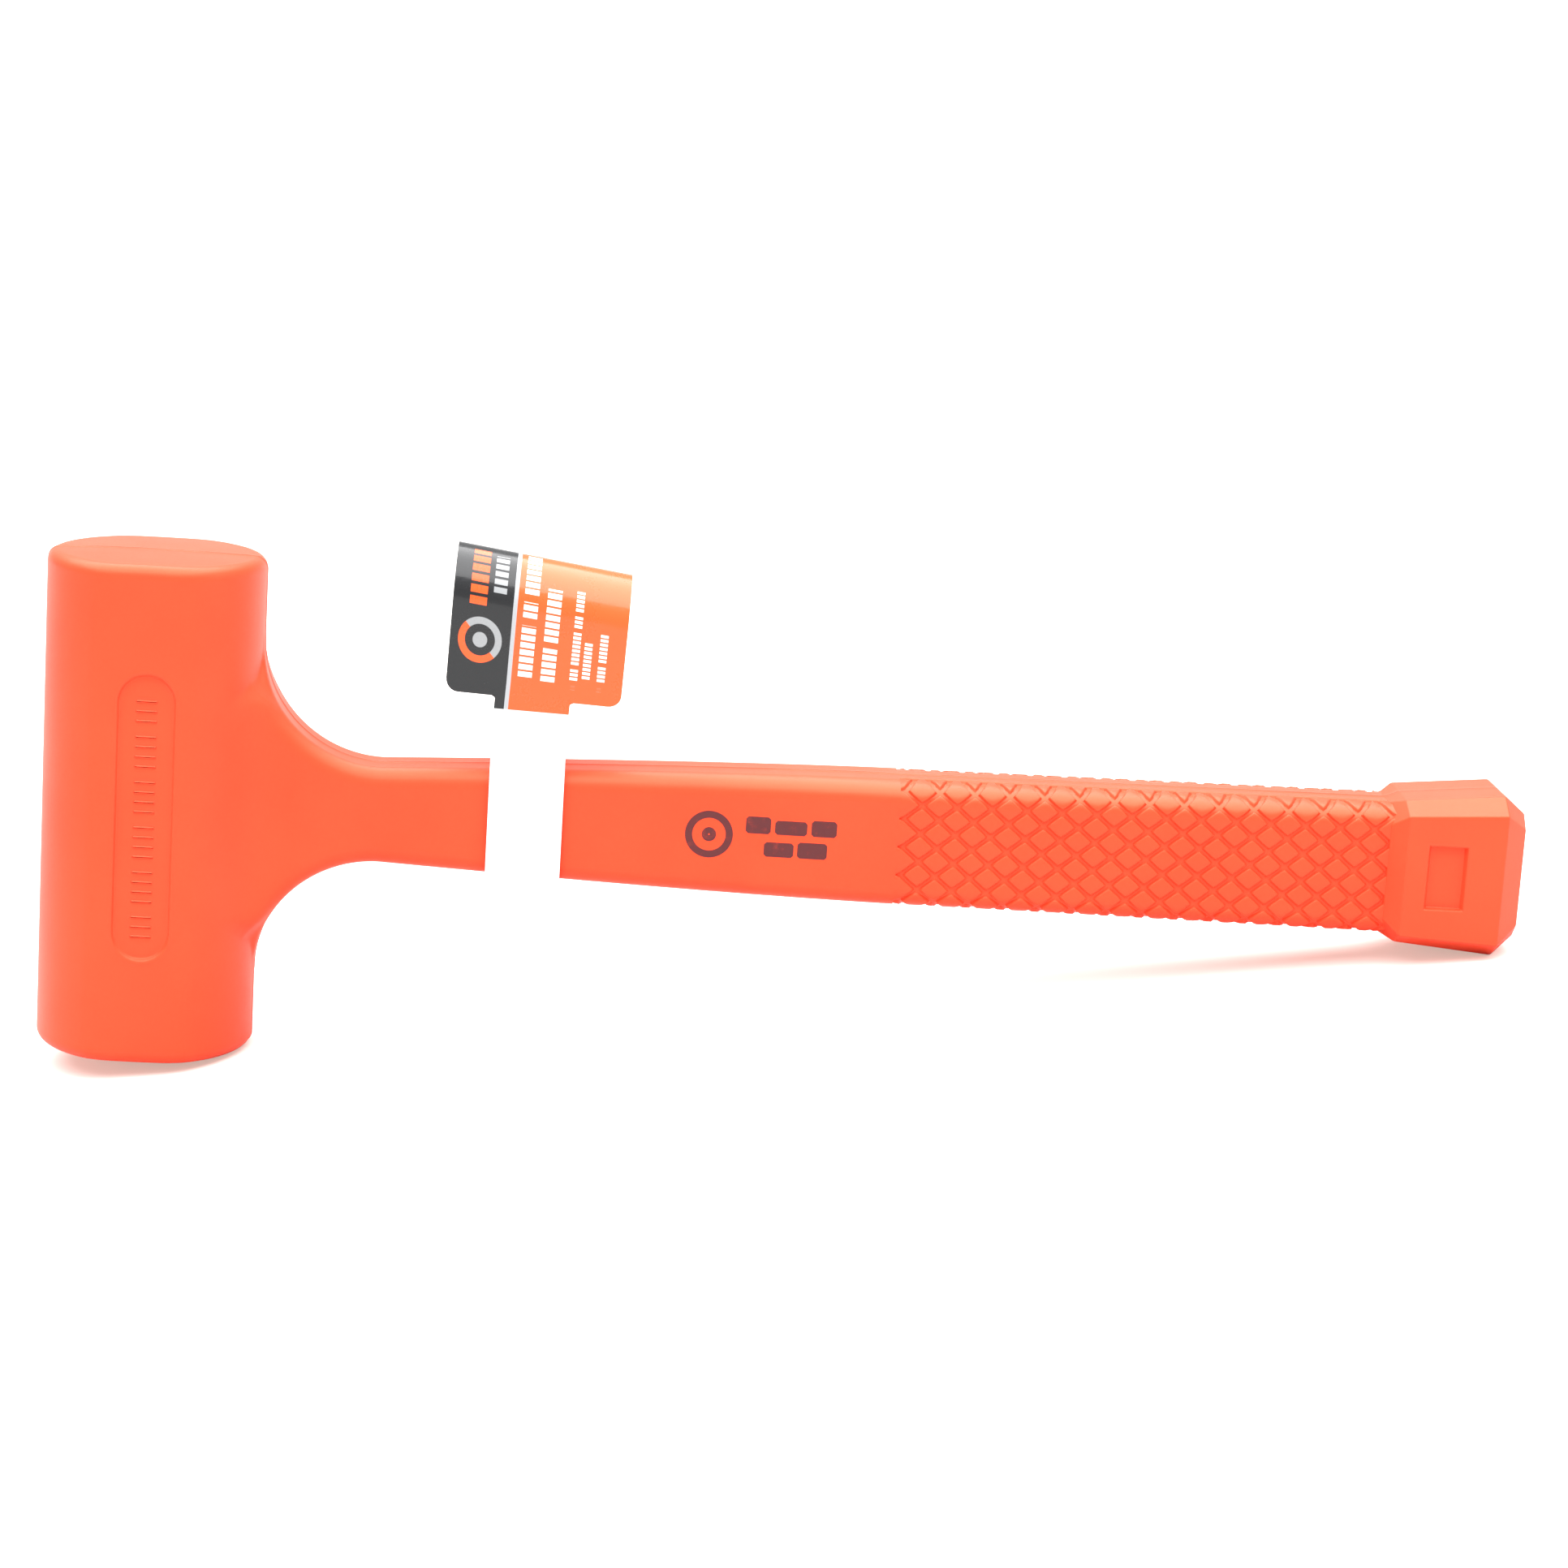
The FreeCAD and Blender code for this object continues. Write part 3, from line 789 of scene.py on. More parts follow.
def shade(piece: Piece, sharp: float = 40.0) -> None:
    """Shades a piece smooth, with the edges past an angle kept crisp.

    Args:
        piece: the mesh object.
        sharp: the angle in degrees.
    """
    piece.data.polygons.foreach_set("use_smooth", [True] * len(piece.data.polygons))
    piece.data.set_sharp_from_angle(angle=math.radians(sharp))
    piece.data.update()


def turn_outwards(piece: Piece, merge: float = 0.0) -> None:
    """Merges doubled points and turns every face outwards.

    Args:
        piece: the mesh object.
        merge: the distance in millimetres below which points are one.
    """
    work = bmesh.new()
    work.from_mesh(piece.data)
    if merge > 0:
        bmesh.ops.remove_doubles(work, verts=work.verts, dist=merge * MM)
    bmesh.ops.recalc_face_normals(work, faces=work.faces)
    work.to_mesh(piece.data)
    work.free()


def baked(piece: Piece, name: str | None = None) -> Piece:
    """Turns a piece and its modifiers into a plain mesh with none.

    Args:
        piece: the object with modifiers.
        name: a new name, where it gets one.

    Returns:
        The same object, with the finished mesh.
    """
    graph = bpy.context.evaluated_depsgraph_get()
    mesh = bpy.data.meshes.new_from_object(piece.evaluated_get(graph), depsgraph=graph)
    piece.modifiers.clear()
    piece.data = mesh
    if name:
        piece.name = name
        mesh.name = name
    return piece


def mount(piece: Piece, body: Body, slot: Slot, *stands_for: str) -> Piece:
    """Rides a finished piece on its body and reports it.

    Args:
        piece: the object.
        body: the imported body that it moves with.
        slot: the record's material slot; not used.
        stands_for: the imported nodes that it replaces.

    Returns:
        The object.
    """
    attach(piece, body.value)
    if stands_for:
        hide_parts(*stands_for)
    log.info("%s: %d faces, rides on %s", piece.name, len(piece.data.polygons), body.value)
    return piece


def graded(*runs: tuple[float, float]) -> np.ndarray:
    """Grid lines whose spacing changes from run to run.

    Args:
        runs: where each run starts and its spacing; the last one only ends the grid.

    Returns:
        The places of the lines, rising.
    """
    lines: list[float] = []
    for (start, step), (end, _) in zip(runs, runs[1:]):
        count = max(1, round((end - start) / step))
        lines += [start + (end - start) * k / count for k in range(count)]
    return np.array(lines + [runs[-1][0]])


def both_ways(lines: np.ndarray, middle: float = 0.0) -> np.ndarray:
    """Grid lines mirrored about a middle."""
    return np.concatenate([middle - lines[:0:-1], middle + lines])


def rows_of(count: int, wide: int, start: int = 0) -> list[range]:
    """The numbers of the points in rows that follow one another."""
    return [range(start + r * wide, start + (r + 1) * wide) for r in range(count)]


def bridges(rows: Sequence[Sequence[int]], closed: bool = True) -> list[list[int]]:
    """The quads between each row of points and the next.

    Args:
        rows: point numbers, in rows of one length.
        closed: whether each row runs back into its start.

    Returns:
        The quads.
    """
    faces = []
    for low, high in zip(rows, rows[1:]):
        n = len(low)
        spans = n if closed else n - 1
        faces += [[low[k], low[(k + 1) % n], high[(k + 1) % n], high[k]] for k in range(spans)]
    return faces


def skin_of(
    form: Callable[[np.ndarray, np.ndarray, np.ndarray], np.ndarray], lines: Sequence[np.ndarray]
) -> tuple[np.ndarray, np.ndarray]:
    """The surface where a form is zero, as even quads on a graded grid.

    Each grid cell that the surface crosses gets one point, which is then brought onto the surface.

    Args:
        form: distance to the surface in millimetres, negative inside.
        lines: grid lines along X, Y and Z.

    Returns:
        Points and quads, with the quads facing outwards.
    """
    value = form(*np.meshgrid(*lines, indexing="ij"))
    inside = value < 0
    cells = tuple(n - 1 for n in value.shape)
    total, count = np.zeros((*cells, 3)), np.zeros(cells)
    crossings = []
    for axis in range(3):
        low, high = [slice(None)] * 3, [slice(None)] * 3
        low[axis], high[axis] = slice(0, -1), slice(1, None)
        crossed = inside[tuple(low)] != inside[tuple(high)]
        at = np.argwhere(crossed)
        a, b = value[tuple(low)][crossed], value[tuple(high)][crossed]
        place = np.stack([lines[k][at[:, k]] for k in range(3)], 1)
        place[:, axis] += a / (a - b) * (lines[axis][at[:, axis] + 1] - lines[axis][at[:, axis]])
        first, second = [k for k in range(3) if k != axis]
        for du in (0, 1):
            for dv in (0, 1):
                cell = at.copy()
                cell[:, first] -= du
                cell[:, second] -= dv
                good = (cell >= 0).all(1) & (cell < np.array(cells)).all(1)
                np.add.at(total, tuple(cell[good].T), place[good])
                np.add.at(count, tuple(cell[good].T), 1)
        crossings.append((axis, first, second, at, a < 0))
    used = count > 0
    number = np.full(cells, -1)
    number[used] = np.arange(used.sum())
    points = total[used] / count[used][:, None]
    quads = []
    for axis, first, second, at, outward in crossings:
        inner = (at[:, first] > 0) & (at[:, second] > 0)
        good = inner & (at[:, first] < cells[first]) & (at[:, second] < cells[second])
        at, outward = at[good], outward[good]
        corner = []
        for du, dv in ((1, 1), (0, 1), (0, 0), (1, 0)):
            cell = at.copy()
            cell[:, first] -= du
            cell[:, second] -= dv
            corner.append(number[tuple(cell.T)])
        quad = np.stack(corner, 1)
        keep = outward if axis != 1 else ~outward
        quad[~keep] = quad[~keep][:, ::-1]
        quads.append(quad)
    nudge = 0.01
    for _ in range(4):
        here = form(*points.T)
        slope = np.stack([
            (form(*(points + nudge * unit).T) - form(*(points - nudge * unit).T)) / (2 * nudge)
            for unit in np.eye(3)
        ], 1)
        step = here[:, None] * slope / np.maximum((slope**2).sum(1), 0.25)[:, None]
        points = points - np.clip(step, -0.4, 0.4)
    return points, np.concatenate(quads)


# ---------------------------------------------------------------------------------------------
# The cast jacket


@dataclass(frozen=True)
class HandleForm:
    """The handle's section along its length: flat sides, narrow flat top and soft corners between."""

    middle: float = 52.5
    neck_place: float = 48.0
    neck_high: float = 10.1
    neck_thick: float = 8.3
    grip_place: float = 156.0
    grip_high: float = 13.4
    grip_thick: float = 10.6
    heel_place: float = 259.5
    heel_high: float = 14.0
    heel_thick: float = 10.8
    swell: float = 1.52
    fatten: float = 1.6
    flat: float = 5.0
    drop: float = 3.8

    def half_height(self, x: np.ndarray) -> np.ndarray:
        """Half the handle's height.

        Args:
            x: the place along the handle.

        Returns:
            The half height there.
        """
        before = np.clip((self.grip_place - x) / (self.grip_place - self.neck_place), 0, 1)
        after = np.clip((x - self.grip_place) / (self.heel_place - self.grip_place), 0, 1.1)
        slimmer = (self.grip_high - self.neck_high) * before**self.swell
        return self.grip_high - slimmer + (self.heel_high - self.grip_high) * after

    def half_thickness(self, x: np.ndarray) -> np.ndarray:
        """Half the handle's thickness.

        Args:
            x: the place along the handle.

        Returns:
            The half thickness there.
        """
        before = np.clip((x - self.neck_place) / (self.grip_place - self.neck_place), 0, 1)
        after = np.clip((x - self.grip_place) / (self.heel_place - self.grip_place), 0, 1.1)
        fuller = (self.grip_thick - self.neck_thick) * before**self.fatten
        return self.neck_thick + fuller + (self.heel_thick - self.grip_thick) * after

    def distance(self, across: np.ndarray, over: np.ndarray, thick: np.ndarray) -> np.ndarray:
        """Distance to the section's outline.

        Args:
            across: distance from the middle plane, along Y.
            over: how far past the outline of the side view a point is.
            thick: half the thickness there.

        Returns:
            The distance, negative inside.
        """
        reach, rise = thick - self.flat, self.drop
        a, b = across - self.flat, over + self.drop
        ac, bc = np.maximum(a, 0), np.maximum(b, 0)
        scale = np.sqrt((ac / reach) ** 2 + (bc / rise) ** 2)
        steep = np.sqrt((ac / reach**2) ** 2 + (bc / rise**2) ** 2)
        corner = scale * (scale - 1) / np.maximum(steep, 1e-6)
        rounded = np.where(scale > 1e-6, corner, -1.0)
        return np.where((a > 0) | (b > 0), rounded, np.maximum(across - thick, over))


def soft_union(a: np.ndarray, b: np.ndarray, width: np.ndarray) -> np.ndarray:
    """Joins two forms with a fillet.

    Args:
        a: distance to the first form.
        b: distance to the second form.
        width: about the fillet's width.

    Returns:
        The distance to both together.
    """
    h = np.clip(0.5 + 0.5 * (b - a) / width, 0, 1)
    return b + (a - b) * h - width * h * (1 - h)


@dataclass
class HeadAndNeck:
    """The round head with its flats and name panels, the curved web and the smooth part of the handle."""

    form: HandleForm
    radius: float = 22.5
    length: float = 105.0
    flat: float = 20.8
    rim: float = 2.4
    crown: float = 0.45
    web_radius: float = 25.5
    web_fade: float = 14.0
    web_taper: float = 0.66
    fillet: float = 8.0
    panel_middle: float = 0.7
    panel_length: float = 60.0
    panel_radius: float = 6.0
    panel_depth: float = 0.7
    seam_height: float = 0.16
    seam_width: float = 0.32
    wall_blend: float = 1.4
    least_fillet: float = 0.3
    reach: float = 157.6

    def panel_sink(self, x: np.ndarray, rise: np.ndarray) -> np.ndarray:
        """How far the panel lies below the flat, with the low bead round it.

        Args:
            x: place across the head.
            rise: height above the head's middle.

        Returns:
            The depth, negative on the bead.
        """
        straight = self.panel_length / 2 - self.panel_radius
        edge = np.hypot(x - self.panel_middle, np.maximum(np.abs(rise) - straight, 0)) - self.panel_radius
        wall = np.clip(-edge / 0.5, 0, 1)
        return self.panel_depth * wall**2 * (3 - 2 * wall) - 0.14 * np.exp(-(((edge - 0.35) / 0.38) ** 2))

    def distance(self, x: np.ndarray, y: np.ndarray, z: np.ndarray) -> np.ndarray:
        """Distance to the skin of the head, web and neck, negative inside.

        Args:
            x: along the handle.
            y: across it.
            z: along the head.

        Returns:
            The distance.
        """
        rise = z - self.form.middle
        high, across = np.abs(rise), np.abs(y)
        barrel = np.hypot(x, y) - self.radius
        side = across - self.flat + self.panel_sink(x, rise)
        h = np.clip(0.5 - 0.5 * (side - barrel) / self.wall_blend, 0, 1)
        wall = side + (barrel - side) * h + self.wall_blend * h * (1 - h)
        cap = high - self.length / 2 + self.crown * np.clip((x**2 + y**2) / self.radius**2, 0, 1)
        u, v = wall + self.rim, cap + self.rim
        head = np.minimum(np.maximum(u, v), 0) + np.hypot(np.maximum(u, 0), np.maximum(v, 0)) - self.rim
        low = self.form.neck_high + self.web_radius
        arc = self.web_radius - np.hypot(x - self.form.neck_place, np.minimum(high - low, 0))
        web = np.maximum(arc, high - low)
        neck = high - self.form.half_height(x)
        outline = np.where(x < self.form.neck_place, web, neck)
        fade = np.clip((high - low + self.web_fade) / self.web_fade, 0, 1)
        narrow = 1 - self.web_taper * fade**2 * (3 - 2 * fade)
        handle = self.form.distance(across / narrow, outline, self.form.half_thickness(x))
        handle = np.maximum(handle, np.maximum(x - self.reach, 14.0 - x))
        step = np.clip((across - 3.0) / 6.0, 0, 1) * np.clip((low - 2.5 - high) / 11.0, 0, 1)
        width = self.least_fillet + (self.fillet - self.least_fillet) * step**2 * (3 - 2 * step)
        skin = soft_union(head, handle, width)
        return skin - self.seam_height * np.exp(-((y / self.seam_width) ** 2))

    def build(self, finish: Material) -> Piece:
        """Makes the skin, cut flat where the grip begins.

        Args:
            finish: the urethane.

        Returns:
            The piece.
        """
        along = graded(
            (-24, 0.95), (-6.4, 0.3), (-4.2, 0.62), (5.6, 0.3), (7.8, 0.85),
            (16, 0.62), (32, 0.85), (60, 1.25), (159, 1),
        )
        across = both_ways(graded(
            (0, 0.16), (0.64, 0.8), (4.4, 0.5), (11.4, 0.9), (18.8, 0.34), (22, 0.6), (23.4, 1),
        ))
        up = both_ways(graded(
            (0, 0.95), (5.8, 0.5), (14.2, 0.75), (24, 0.42), (31, 0.8), (48.8, 0.36), (54.0, 1),
        ), self.form.middle)
        points, quads = skin_of(self.distance, (along, across, up))
        piece = solid("urethane_head_and_neck", points, quads, [finish], 50.0)
        work = bmesh.new()
        work.from_mesh(piece.data)
        cut = bmesh.ops.bisect_plane(
            work, geom=work.verts[:] + work.edges[:] + work.faces[:],
            plane_co=(self.form.grip_place * MM, 0, 0),
            plane_no=(1, 0, 0), clear_outer=True,
        )
        rim = [e for e in cut["geom_cut"] if isinstance(e, bmesh.types.BMEdge)]
        bmesh.ops.edgeloop_fill(work, edges=rim)
        bmesh.ops.recalc_face_normals(work, faces=work.faces)
        work.to_mesh(piece.data)
        work.free()
        shade(piece, 50.0)
        return piece


@dataclass
class PanelStrokes:
    """The raised strokes in the panel of the head's flat: an even row of bars, in place of words."""

    head: HeadAndNeck
    stroke: tuple[float, float, float] = (4.4, 0.62, 0.66)
    groups: tuple[int, ...] = (3, 4, 4, 4, 4, 3)
    pitch: float = 2.05
    gap: float = 3.3
    low: float = 27.5

    def build(self, side: Side, finish: Material) -> Piece:
        """Lays the bars with a geometry tree.

        Args:
            side: the flat that they stand on.
            finish: the urethane.

        Returns:
            The piece.
        """
        long, wide, thick = self.stroke
        name = f"urethane_panel_strokes_{side.name.lower()}"
        bar = rounded_bar(name, long, wide, thick, finish)
        floor = self.head.flat - self.head.panel_depth - 0.1
        sizes = {
            "Pitch": self.pitch, "Gap": self.gap, "Low": self.low,
            "Middle": self.head.panel_middle, "Floor": floor * side.value,
        }
        tree = GeometrySheet(f"panel_strokes_{side.name.lower()}", sizes, {"Count": sum(self.groups)})
        given = tree.given
        index = tree.index()
        before: object = 0.0
        ends = np.cumsum(self.groups)[:-1]
        for end in ends:
            before = tree.plus(before, tree.math("GREATER_THAN", index, float(end) - 0.5))
        wider = tree.minus(given["Gap"], given["Pitch"])
        even = tree.times(index, given["Pitch"])
        rise = tree.plus(even, tree.times(before, wider))
        height = tree.plus(given["Low"], rise)
        row = tree.points(given["Count"], tree.join(given["Middle"], given["Floor"], height))
        placed = tree.instances(row, given["Geometry"])
        tree.finish(placed, finish)
        piece = tree.apply_to(bar)
        turn_outwards(piece)
        shade(piece, 35.0)
        return piece


class GeometrySheet(NodeSheet):
    """A geometry tree with named inputs, whose first input and only output are the geometry."""

    def __init__(self, name: str, sizes: dict[str, float], counts: dict[str, int] | None = None) -> None:
        """Makes the tree and its sockets.

        Args:
            name: the tree's name.
            sizes: the inputs that are sizes, in millimetres, by name.
            counts: the inputs that are whole numbers, by name.
        """
        tree = bpy.data.node_groups.new(name, "GeometryNodeTree")
        super().__init__(tree)
        tree.interface.new_socket(name="Geometry", in_out="INPUT", socket_type="NodeSocketGeometry")
        self.values: dict[str, object] = {}
        sockets = [(label, "NodeSocketInt", count) for label, count in (counts or {}).items()]
        sockets += [(label, "NodeSocketFloat", size * MM) for label, size in sizes.items()]
        for label, kind, value in sockets:
            socket = tree.interface.new_socket(name=label, in_out="INPUT", socket_type=kind)
            self.values[socket.identifier] = value
        tree.interface.new_socket(name="Geometry", in_out="OUTPUT", socket_type="NodeSocketGeometry")
        self.given = tree.nodes.new("NodeGroupInput").outputs
        self.out = tree.nodes.new("NodeGroupOutput")

    def index(self) -> Socket:
        """The number of each point."""
        return self.add("GeometryNodeInputIndex").outputs[0]

    def position(self) -> Socket:
        """The place of each point."""
        return self.add("GeometryNodeInputPosition").outputs[0]

    def points(self, count: object, place: object) -> Socket:
        """A number of points, each at its own place."""
        return self.add("GeometryNodePoints", {"Count": count, "Position": place}).outputs[0]

    def instances(self, points: object, shape: object, chosen: object = None) -> Socket:
        """A shape on each chosen point, as one plain mesh.

        Args:
            points: the points.
            shape: the geometry to repeat.
            chosen: which points carry it, or all.

        Returns:
            The realized geometry.
        """
        node = self.add("GeometryNodeInstanceOnPoints", {"Points": points, "Instance": shape})
        self.put(node.inputs["Selection"], chosen)
        return self.add("GeometryNodeRealizeInstances", {0: node.outputs[0]}).outputs[0]

    def moved(self, geometry: object, place: object) -> Socket:
        """Geometry with every point put at a new place."""
        return self.add("GeometryNodeSetPosition", {"Geometry": geometry, "Position": place}).outputs[0]

    def finish(self, geometry: object, material: Material) -> None:
        """Ends the tree: plain mesh, its finish, output.

        Args:
            geometry: what was made.
            material: its finish.
        """
        plain = self.add("GeometryNodeRealizeInstances", {0: geometry}).outputs[0]
        dressed = self.add("GeometryNodeSetMaterial", {"Geometry": plain, "Material": material}).outputs[0]
        self.put(self.out.inputs[0], dressed)

    def apply_to(self, piece: Piece) -> Piece:
        """Runs the tree on a piece and keeps the result as its mesh.

        Args:
            piece: the object whose mesh goes in.

        Returns:
            The same object.
        """
        modifier = piece.modifiers.new(self.tree.name, "NODES")
        modifier.node_group = self.tree
        for identifier, value in self.values.items():
            modifier[identifier] = value
        return baked(piece)


def rounded_bar(name: str, long: float, wide: float, thick: float, finish: Material) -> Piece:
    """A small bar with eased edges, long along X and thick along Y, about its middle.

    Args:
        name: the object's name.
        long: its length.
        wide: its width.
        thick: its thickness.
        finish: its material.

    Returns:
        The object.
    """
    ease = min(wide, thick) * 0.3
    points: list[Place] = []
    for y, inset in ((-thick / 2, ease), (-thick / 2 + ease, 0.0), (thick / 2 - ease, 0.0), (thick / 2, ease)):
        a, b = long / 2 - inset, wide / 2 - inset
        points += [
            (a, y, b - ease), (a - ease, y, b), (ease - a, y, b), (-a, y, b - ease),
            (-a, y, ease - b), (ease - a, y, -b), (a - ease, y, -b), (a, y, ease - b),
        ]
    rows = rows_of(4, 8)
    piece = solid(name, np.array(points), bridges(rows) + [list(rows[0]), list(rows[-1])], [finish], 35.0)
    turn_outwards(piece)
    return piece


@dataclass(frozen=True)
class Lattice:
    """Where the grip's repeated shapes stand, before they are wrapped round the handle.

    Every other row is moved along by the shift. Odd says which rows, 0 or 1. No shape has its
    middle past the limit.
    """

    start: float
    columns: int
    rows: int
    row_step: float
    shift: float
    odd: int
    limit: float


@dataclass
class Grip:
    """The grip: a core at the floor of the grooves, and diamond pads wrapped round it.

    The pads stand in a lattice that is even in side view. Along the top and bottom they run into
    a smooth band with the mould's seam.
    """

    form: HandleForm
    start: float = 156.94
    pitch: float = 7.337
    row_pitch: float = 6.006
    columns: int = 14
    rows: int = 11
    groove: float = 1.5
    depth: float = 0.62
    band: float = 4.2
    end: float = 262.4
    seam_height: float = 0.16
    seam_width: float = 0.32
    edge_fall: float = 0.45
    tooth_root: float = -0.5

    def _quadrant(self, x: float) -> np.ndarray:
        """One quarter of the core's section at a place.

        Args:
            x: the place along the handle.

        Returns:
            Rows of distance from the middle plane and height above the axis, from the side to the top.
        """
        f = self.form
        high, thick = float(f.half_height(np.array(x))), float(f.half_thickness(np.array(x)))
        rows = [(thick, b, 1.0, 0.0) for b in np.linspace(0, high - f.drop, 5)[:-1]]
        for turn in np.linspace(0, math.pi / 2, 13):
            a, b = f.flat + (thick - f.flat) * math.cos(turn), high - f.drop + f.drop * math.sin(turn)
            n = np.array([math.cos(turn) / (thick - f.flat), math.sin(turn) / f.drop])
            n /= np.linalg.norm(n)
            rows.append((a, b, n[0], n[1]))
        top = (self.edge_fall, 0.3, 0.15, 0)
        rows += [(self.band + a, high, 0.0, 1.0) for a in top]
        rows += [(a, high, 0.0, 1.0) for a in (3.2, 1.7, 0.8, 0.5, 0.32, 0.16, 0.0)]
        out = []
        for a, b, na, nb in rows:
            sunk = np.clip((a - self.band) / self.edge_fall, 0, 1)
            lift = self.seam_height * math.exp(-((a / self.seam_width) ** 2)) if b >= high - 1e-6 else 0.0
            shift = lift - self.depth * sunk * sunk * (3 - 2 * sunk)
            out.append((a + na * shift, b + nb * shift))
        return np.array(out)

    def core(self, finish: Material) -> Piece:
        """Lofts the core from the grip's start into the pommel.

        Args:
            finish: the urethane.

        Returns:
            The piece.
        """
        places = graded((self.form.grip_place - 0.02, 1.6), (self.end, 1))
        rings = []
        for x in places:
            a, b = self._quadrant(float(x)).T
            loop = np.concatenate([
                np.stack([-a, b], 1), np.stack([a, b], 1)[::-1][1:],
                np.stack([a, -b], 1)[1:], np.stack([-a, -b], 1)[::-1][1:-1],
            ])
            level = loop[:, 1:] + self.form.middle
            rings.append(np.concatenate([np.full((len(loop), 1), x), loop[:, :1], level], 1))
        rows = rows_of(len(rings), len(rings[0]))
        faces = bridges(rows) + [list(rows[0]), list(rows[-1])]
        piece = solid("urethane_grip_core", np.concatenate(rings), faces, [finish], 50.0)
        turn_outwards(piece)
        shade(piece, 50.0)
        return piece

    def _levels(self) -> tuple[tuple[float, float], ...]:
        """Height and inset of a shape's rings: top, eased edge, drafted wall, base."""
        deep = self.depth
        return ((0.0, 0.2), (-0.06, 0.06), (-0.18, 0.0), (-deep + 0.12, -0.12), (-deep - 0.2, -0.34))

    def _pad_blank(self, name: str, finish: Material) -> Piece:
        """One diamond pad, flat, with its top at zero height: eased edge, drafted wall, closed base.

        Args:
            name: the object's name.
            finish: the urethane.

        Returns:
            The object, about its own middle.
        """
        cuts = 4
        levels = self._levels()
        half = (self.pitch - self.groove) / 2
        slope = self.row_pitch / self.pitch
        points: list[Place] = []

        def corner(i: int, j: int, height: float, inset: float) -> Place:
            """A place on the pad.

            Args:
                i: the first lattice number, from 0 to the number of cuts.
                j: the second one.
                height: the place's height.
                inset: how far it lies inside the pad's edge.

            Returns:
                The place.
            """
            a, b = 2 * i / cuts - 1, 2 * j / cuts - 1
            reach = half - inset / math.sin(math.atan(slope))
            ease = 1 - 0.05 * (max(0.0, abs(a) + abs(b) - 1.4) / 0.6)
            return (a + b) / 2 * reach * ease, (b - a) / 2 * reach * slope * ease, height

        for i in range(cuts + 1):
            points += [corner(i, j, *levels[0]) for j in range(cuts + 1)]
        grid = rows_of(cuts + 1, cuts + 1)
        faces = [
            [grid[i][j], grid[i][j + 1], grid[i + 1][j + 1], grid[i + 1][j]]
            for i in range(cuts) for j in range(cuts)
        ]
        edge = [(i, 0) for i in range(cuts)] + [(cuts, j) for j in range(cuts)]
        edge += [(i, cuts) for i in range(cuts, 0, -1)] + [(0, j) for j in range(cuts, 0, -1)]
        rings: list[Sequence[int]] = [[grid[i][j] for i, j in edge]]
        for level in levels[1:]:
            rings += rows_of(1, len(edge), len(points))
            points += [corner(i, j, *level) for i, j in edge]
        piece = solid(name, np.array(points), faces + bridges(rings) + [list(rings[-1])], [finish], 60.0)
        turn_outwards(piece)
        return piece

    def _tooth_blank(self, name: str, finish: Material, way: int) -> Piece:
        """One tooth of the smooth handle between the first grooves, as a flat triangle.

        Args:
            name: the object's name.
            finish: the urethane.
            way: 1 where the tooth points along X, -1 where it points back.

        Returns:
            The object, with its base at X = 0.
        """
        cuts, rows = 5, 4
        slope = self.row_pitch / self.pitch
        lean = math.atan(slope)
        full = self.row_pitch / 2 + 0.03
        points, faces, loops = [], [], []
        outline = [(0, j) for j in range(rows)] + [(i, rows) for i in range(cuts)]
        outline += [(cuts, j) for j in range(rows, 0, -1)] + [(i, 0) for i in range(cuts, 0, -1)]
        for level, (height, inset) in enumerate(self._levels()):
            grid = {}
            tip = full / slope - inset / math.sin(lean) - 0.12
            base = full - inset / math.cos(lean)
            for i in range(cuts + 1):
                x = i / cuts * tip if i else self.tooth_root
                half = max(base - x * slope, 0.06) if i else base
                for j in range(rows + 1):
                    if level and (i, j) not in outline:
                        continue
                    grid[i, j] = len(points)
                    points.append((x * way, half * (2 * j / rows - 1), height))
            loops.append([grid[place] for place in outline])
            if level == 0:
                faces += [
                    [grid[i, j], grid[i, j + 1], grid[i + 1, j + 1], grid[i + 1, j]]
                    for i in range(cuts) for j in range(rows)
                ]
        piece = solid(name, np.array(points), faces + bridges(loops) + [loops[-1]], [finish], 60.0)
        turn_outwards(piece)
        return piece

    def _wrapped(self, blank: Piece, side: Side, finish: Material, lattice: Lattice) -> Piece:
        """Repeats a flat shape in a lattice and wraps the lattice round the handle.

        Args:
            blank: the flat shape.
            side: front or back.
            finish: the urethane.
            lattice: where the shapes stand.

        Returns:
            The piece.
        """
        f = self.form
        sizes = {
            "Start": lattice.start, "Column Pitch": self.pitch, "Row Pitch": lattice.row_step,
            "Shift": lattice.shift, "Limit": lattice.limit, "Grip Start": f.grip_place, "Heel": f.heel_place,
            "Start Half Height": f.grip_high, "Heel Half Height": f.heel_high,
            "Start Half Thickness": f.grip_thick, "Heel Half Thickness": f.heel_thick,
            "Top Flat": f.flat, "Corner Drop": f.drop, "Middle": f.middle,
        }
        counts = {"Columns": lattice.columns, "Rows": lattice.rows}
        tree = GeometrySheet(blank.name + "_lattice", sizes, counts)
        g = tree.given
        m = tree.math
        index = tree.index()
        row = m("FLOOR", tree.divided(tree.plus(index, 0.5), g["Columns"]))
        column = tree.minus(index, tree.times(row, g["Columns"]))
        moved = m("MODULO", tree.plus(row, float(lattice.odd)), 2.0)
        even = tree.plus(g["Start"], tree.times(column, g["Column Pitch"]))
        x = tree.plus(even, tree.times(moved, g["Shift"]))
        up = tree.times(tree.minus(row, tree.divided(tree.minus(g["Rows"], 1.0), 2.0)), g["Row Pitch"])
